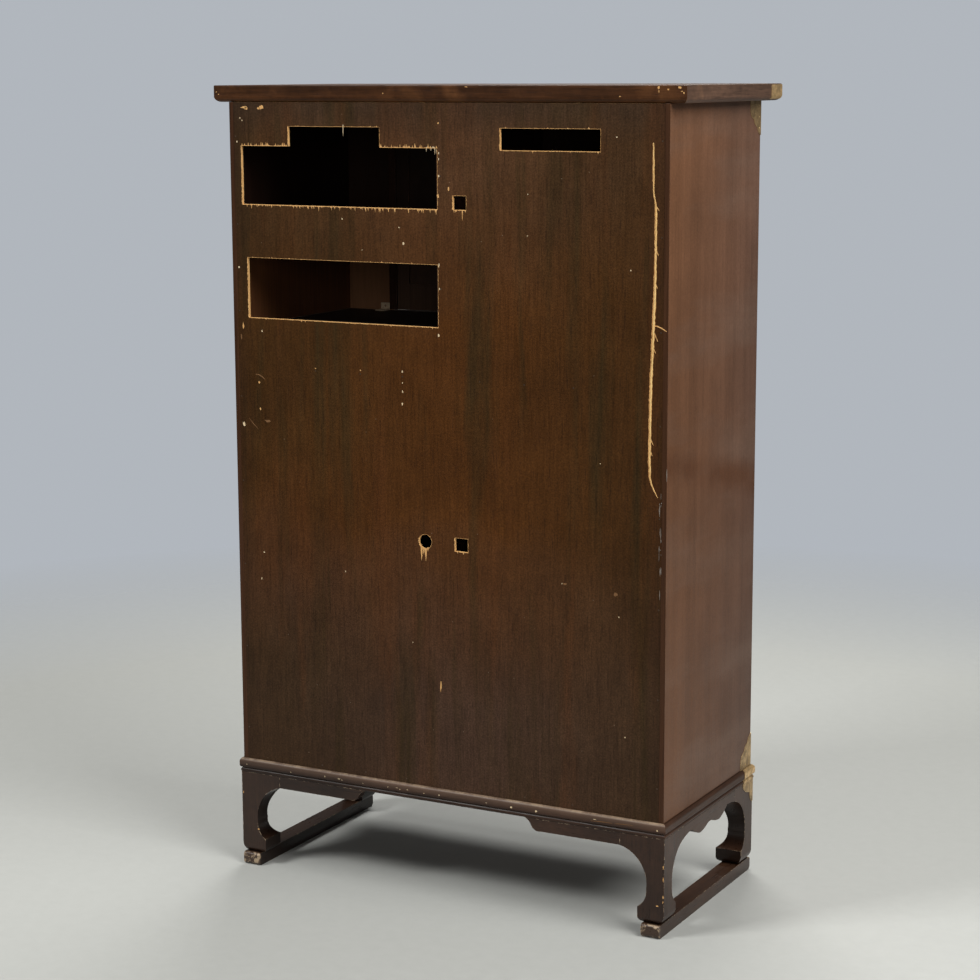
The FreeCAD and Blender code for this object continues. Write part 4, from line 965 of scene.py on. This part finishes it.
def chips(work, marks, face_y):
    """Chips with ragged rims on an upright face."""
    lift = Vector((0, CHIP_PROUD * MM, 0))
    for x, z, width, height in marks:
        rim = []
        for i in range(CHIP_CORNERS):
            turn = math.tau * (i + dice.uniform(-0.3, 0.3)) / CHIP_CORNERS
            reach = dice.uniform(0.45, 1.15) / 2
            across, up = x + math.cos(turn) * reach * width, z + math.sin(turn) * reach * height
            rim.append(Vector((across * MM, face_y, up * MM)))
        slab_of(work, rim, lift, lift)


# A sliver's outline: shares of its half width and of its length.
SLIVER_OUTLINE = [(-1.0, 0.0), (1.0, 0.0), (0.7, 0.45), (0.15, 1.0), (-0.5, 0.6)]


def slivers(work, torn):
    """Slivers that hang from their tops on the back."""
    lift, sink = Vector((0, SLIVER_PROUD * MM, 0)), Vector((0, CHIP_PROUD * MM, 0))
    for x, top, length, width in torn:
        rim = [Vector(((x + aside * width / 2) * MM, BACK_Y, (top - down * length) * MM))
               for aside, down in SLIVER_OUTLINE]
        slab_of(work, rim, lift, sink)


def pale_marks():
    """Chips where the stain has broken away, on the back and the moulding, and bleached slivers."""
    work = bmesh.new()
    chips(work, BACK_CHIPS, BACK_Y)
    slivers(work, PALE_SLIVERS)
    chips(work, MOULDING_CHIPS, MOULDING_Y)
    add_mark("pale_chips", work, "pale_chips")


def tan_marks():
    """Slivers torn down from the cable holes, and chips on the back, the rear legs and the top."""
    work = bmesh.new()
    slivers(work, BACK_SLIVERS)
    chips(work, TAN_CHIPS, BACK_Y)
    chips(work, LEG_CHIPS, LEG_BACK_Y)
    chips(work, TOP_CHIPS, TOP_BACK_Y)
    add_mark("tan_chips", work, "bare_wood")


def corner_scuffs():
    """Grey flecks down the rear corner, beside the torn strip."""
    work = bmesh.new()
    for x, top, bottom in CORNER_SCUFFS:
        z = top
        while z > bottom:
            length = 2.0 + 22.0 * dice.random() ** 2.5
            across = x + dice.uniform(-2.0, 2.0)
            lean = dice.uniform(-0.8, 0.8)
            if dice.random() < 0.6:
                belly = (across + lean, z - length / 2, dice.uniform(0.5, 2.2))
                ribbon(work, [(across, z, 0.4), belly, (across, z - length, 0.3)], BACK_Y, SCUFF_PROUD)
            z -= length * dice.uniform(0.5, 2.0)
    add_mark("corner_scuffs", work, "grey_scuffs")


def faint_marks():
    """Rubbed patches of the back and fine scratches that only lighten the stain."""
    work = bmesh.new()
    chips(work, RUBBED_BACK, BACK_Y)
    for scratches, face_y in ((BACK_SCRATCHES, BACK_Y), (MOULDING_SCRATCHES, MOULDING_Y)):
        for scratch in scratches:
            ribbon(work, scratch, face_y, CHIP_PROUD)
    add_mark("rubbed_marks", work, "faint_marks")


NAIL_RADIUS, NAIL_HEIGHT, NAIL_CORNERS = 1.9 * MM, 0.8 * MM, 10
# Rings of a nail head, as shares of its radius and of its height.
NAIL_RINGS = [(1.0, -0.3), (1.0, 0.15), (0.72, 0.75)]


def nail_head(work, at, out):
    """A small domed nail head standing on a face."""
    turn = out.to_track_quat("Z", "Y").to_matrix()
    rings = []
    for share, rise in NAIL_RINGS:
        ring = []
        for i in range(NAIL_CORNERS):
            angle = math.tau * i / NAIL_CORNERS
            aside = NAIL_RADIUS * share
            spot = Vector((math.cos(angle) * aside, math.sin(angle) * aside, rise * NAIL_HEIGHT))
            ring.append(work.verts.new(at + turn @ spot))
        rings.append(ring)
    crown = work.verts.new(at + out * NAIL_HEIGHT)
    work.faces.new(rings[0][::-1])
    for lower, upper in zip(rings, rings[1:]):
        for i in range(NAIL_CORNERS):
            j = (i + 1) % NAIL_CORNERS
            work.faces.new((lower[i], lower[j], upper[j], upper[i]))
    for i in range(NAIL_CORNERS):
        work.faces.new((rings[-1][i], rings[-1][(i + 1) % NAIL_CORNERS], crown))


def add_nails(name, work, body):
    """Makes a piece of nail heads, smooth all over."""
    piece = add_piece(name, work, body, "aged_brass")
    for face in piece.data.polygons:
        face.use_smooth = True


# Nails of a corner plate, in millimetres from the corner and from the plate's straight end.
PLATE_NAILS = [(8, 8), (27, 7), (44, 8), (8, 31), (26, 26), (7, 53)]
LEG_NAILS = [(44, 5), (25, 6), (8, 8), (7, 27)]
BRASS_PROUD = 1.0 * MM


def corner_nails():
    """Nails through both wings of the corner plates."""
    work = bmesh.new()
    plates = [
        (SIDE_X, FRONT_Y, TOP_LEVEL, -1, PLATE_NAILS),
        (SIDE_X, FRONT_Y, STAND_HEIGHT, 1, PLATE_NAILS),
        (LEG_X, LEG_FRONT_Y, STAND_LEVEL, -1, LEG_NAILS),
    ]
    for x, y, z, upward, spots in plates:
        for sign in SIDES.values():
            for along, away in spots:
                level = z + upward * away * MM
                side_out, front_out = Vector((sign, 0, 0)), Vector((0, -1, 0))
                nail_head(work, Vector((sign * (x + BRASS_PROUD), y + along * MM, level)), side_out)
                nail_head(work, Vector((sign * (x - along * MM), y - BRASS_PROUD, level)), front_out)
    add_nails("corner_nails", work, "cabinet")


# Nails of a hinge leaf, in millimetres from the pin and from the hinge's middle.
HINGE_NAILS = [(10, 20), (25, 21), (10, -20), (25, -21), (18, 0)]
LEAF_PROUD, HINGE_INSET = 1.5 * MM, 72 * MM
# Nails of a half-round plate, on an arc about a point beside the doors' meeting line.
PLATE_NAIL_TURNS = (-72, -38, 38, 72)
PLATE_ARC, PLATE_ASIDE = 28 * MM, 3 * MM


def door_nails():
    """Nails of the hinge leaves and of the half-round plates."""
    posts = bmesh.new()
    front = Vector((0, -1, 0))
    for door in DOORS:
        sign = SIDES[door.split("_")[1]]
        work = bmesh.new()
        hinge_x = next(joint["pos_m"][0] for joint in frame["joints"] if joint["name"] == f"{door}_hinge")
        low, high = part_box(f"{door}_frame")
        for level in (low.z + HINGE_INSET, high.z - HINGE_INSET):
            for along, up in HINGE_NAILS:
                z = level + up * MM
                nail_head(work, Vector((hinge_x - sign * along * MM, FRONT_Y - LEAF_PROUD, z)), front)
                nail_head(posts, Vector((hinge_x + sign * along * MM, FRONT_Y - LEAF_PROUD, z)), front)
        middle = (low.z + high.z) / 2
        for turn in PLATE_NAIL_TURNS:
            angle = math.radians(turn)
            x, z = sign * (PLATE_ASIDE + PLATE_ARC * math.cos(angle)), middle + PLATE_ARC * math.sin(angle)
            nail_head(work, Vector((x, FRONT_Y - BRASS_PROUD, z)), front)
        add_nails(f"{door}_nails", work, door)
    add_nails("post_leaf_nails", posts, "cabinet")


def framed_bead(work, low, high, face_y, profile):
    """A mitred bead round a rectangle. The profile runs inwards and out from the face."""
    loops = []
    for inset, out in profile:
        y = face_y - out * MM
        x0, x1, z0, z1 = low.x + inset * MM, high.x - inset * MM, low.z + inset * MM, high.z - inset * MM
        loops.append([work.verts.new(p) for p in ((x0, y, z0), (x1, y, z0), (x1, y, z1), (x0, y, z1))])
    for here, after in zip(loops, loops[1:] + loops[:1]):
        for i in range(4):
            j = (i + 1) % 4
            work.faces.new((here[i], here[j], after[j], after[i]))


# Profiles of the beads in millimetres, and how far in from the edge of a panel or drawer front they run.
PANEL_BEAD = [
    (0, 0), (0, 4.6), (1.2, 5.4), (2.8, 5.4), (4.2, 4.4), (5.0, 2.6), (6.4, 2.2), (7.6, 1.4), (8.0, 0),
]
DRAWER_BEAD = [(0, -0.3), (0, 0.9), (0.7, 1.5), (1.6, 1.5), (2.3, 0.9), (2.3, -0.3)]
PANEL_INSET, DRAWER_INSET = Vector((5.5, 0, 5.5)) * MM, Vector((3, 0, 3)) * MM


def front_beads():
    """Mitred beads round the door panels and the drawer fronts."""
    for door in DOORS:
        work = bmesh.new()
        low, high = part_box(f"{door}_panel")
        framed_bead(work, low + PANEL_INSET, high - PANEL_INSET, low.y, PANEL_BEAD)
        add_piece(f"{door}_bead", work, door, "front_wood_z")
    for side in SIDES:
        work = bmesh.new()
        low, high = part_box(f"{side}_drawer_front")
        framed_bead(work, low + DRAWER_INSET, high - DRAWER_INSET, FRONT_Y, DRAWER_BEAD)
        add_piece(f"{side}_drawer_bead", work, f"{side}_drawer", "front_wood_x")


# Section of a door stop, in millimetres from the door's edge and from its back.
STOP_OUTLINE = [(-8, 0.5), (1.6, 0.5), (2, 0), (10, 0), (10, 4), (8.5, 5.5), (-6.5, 5.5), (-8, 4)]


def door_stops():
    """Strips behind the posts that the closed doors rest against, keeping the light out of the gap."""
    work = bmesh.new()
    for door in DOORS:
        sign = SIDES[door.split("_")[1]]
        low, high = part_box(f"{door}_frame")
        edge = max(abs(low.x), abs(high.x))
        rim = [Vector((sign * (edge + x * MM), DOOR_BACK_Y + y * MM, low.z)) for x, y in STOP_OUTLINE]
        slab_of(work, rim, Vector((0, 0, high.z - low.z)), Vector())
    add_mark("door_stops", work, "inner_wood_z")


cut_edge_splinters()
door_stops()
torn_strip()
pale_marks()
tan_marks()
corner_scuffs()
faint_marks()
corner_nails()
door_nails()
front_beads()


# Floor, light and camera

# Soft lights: place, aim and size in metres, watts, tint.
LIGHTS = {
    "right_of_back": ((3.2, 4.0, 5.3), (0, 0, 0.8), (1.8, 1.8), 275, (1.0, 0.985, 0.96)),
    "left_side": ((-3.6, 1.0, 4.05), (0, 0, 0.8), (3.2, 3.2), 258, (1.0, 0.98, 0.95)),
    "eye_level": ((-2.3, 4.3, 1.9), (0, 0, 0.9), (1.6, 1.2), 16, (1.0, 0.98, 0.96)),
    "front": ((0.8, -2.3, 4.1), (0, -0.2, 0.7), (1.8, 1.8), 105, (1.0, 0.98, 0.95)),
}
ROOM_GLOW, BACKDROP = rgb(0.096, 0.095, 0.093), rgb(0.44, 0.47, 0.51)


def softbox(name, place, aim, size, power, tint):
    """A soft light aimed at a point."""
    light = bpy.data.lights.new(name, "AREA")
    light.shape = "RECTANGLE"
    light.size, light.size_y = size
    light.energy = power
    light.color = tint
    lamp = placed(name, light)
    lamp.location = place
    lamp.rotation_euler = (Vector(aim) - Vector(place)).to_track_quat("-Z", "Y").to_euler()


def studio():
    """A plain pale floor under soft lights from both sides of the back, with one for the front."""
    work = bmesh.new()
    bmesh.ops.create_circle(work, cap_ends=True, radius=FLOOR_RADIUS, segments=96)
    floor = meshed("floor", work, FINISHES["pale_floor"])
    world = bpy.data.worlds.new("studio")
    bpy.context.scene.world = world
    world.use_nodes = True
    room = Shader(world.node_tree)
    shade = room.mixed(room.node("LightPath")["Is Camera Ray"], ROOM_GLOW, BACKDROP)
    room.tree.links.new(shade, room.tree.nodes["Background"].inputs["Color"])
    for name, light in LIGHTS.items():
        softbox(name, *light)


# The photo's camera: its place in metres, its turn, tilt and roll, and its lens in millimetres.
CAMERA_PLACE = (-2.15557, 4.04193, 1.60618)
CAMERA_TURNS = (math.radians(-61.782 - 90), math.pi / 2 - 0.1779, -0.004)
CAMERA_LENS, CAMERA_WIDTH = 85.69, 36.0


def photo_camera():
    """Behind the cabinet on its left, at a standing eye level."""
    data = bpy.data.cameras.new("camera")
    data.sensor_width, data.lens = CAMERA_WIDTH, CAMERA_LENS
    camera = placed("camera", data)
    turn = Matrix.Identity(4)
    for angle, axis in zip(CAMERA_TURNS, "ZXZ"):
        turn = turn @ Matrix.Rotation(angle, 4, axis)
    camera.matrix_world = Matrix.Translation(CAMERA_PLACE) @ turn
    bpy.context.scene.camera = camera


studio()
photo_camera()
bpy.context.scene.view_settings.view_transform = "Standard"
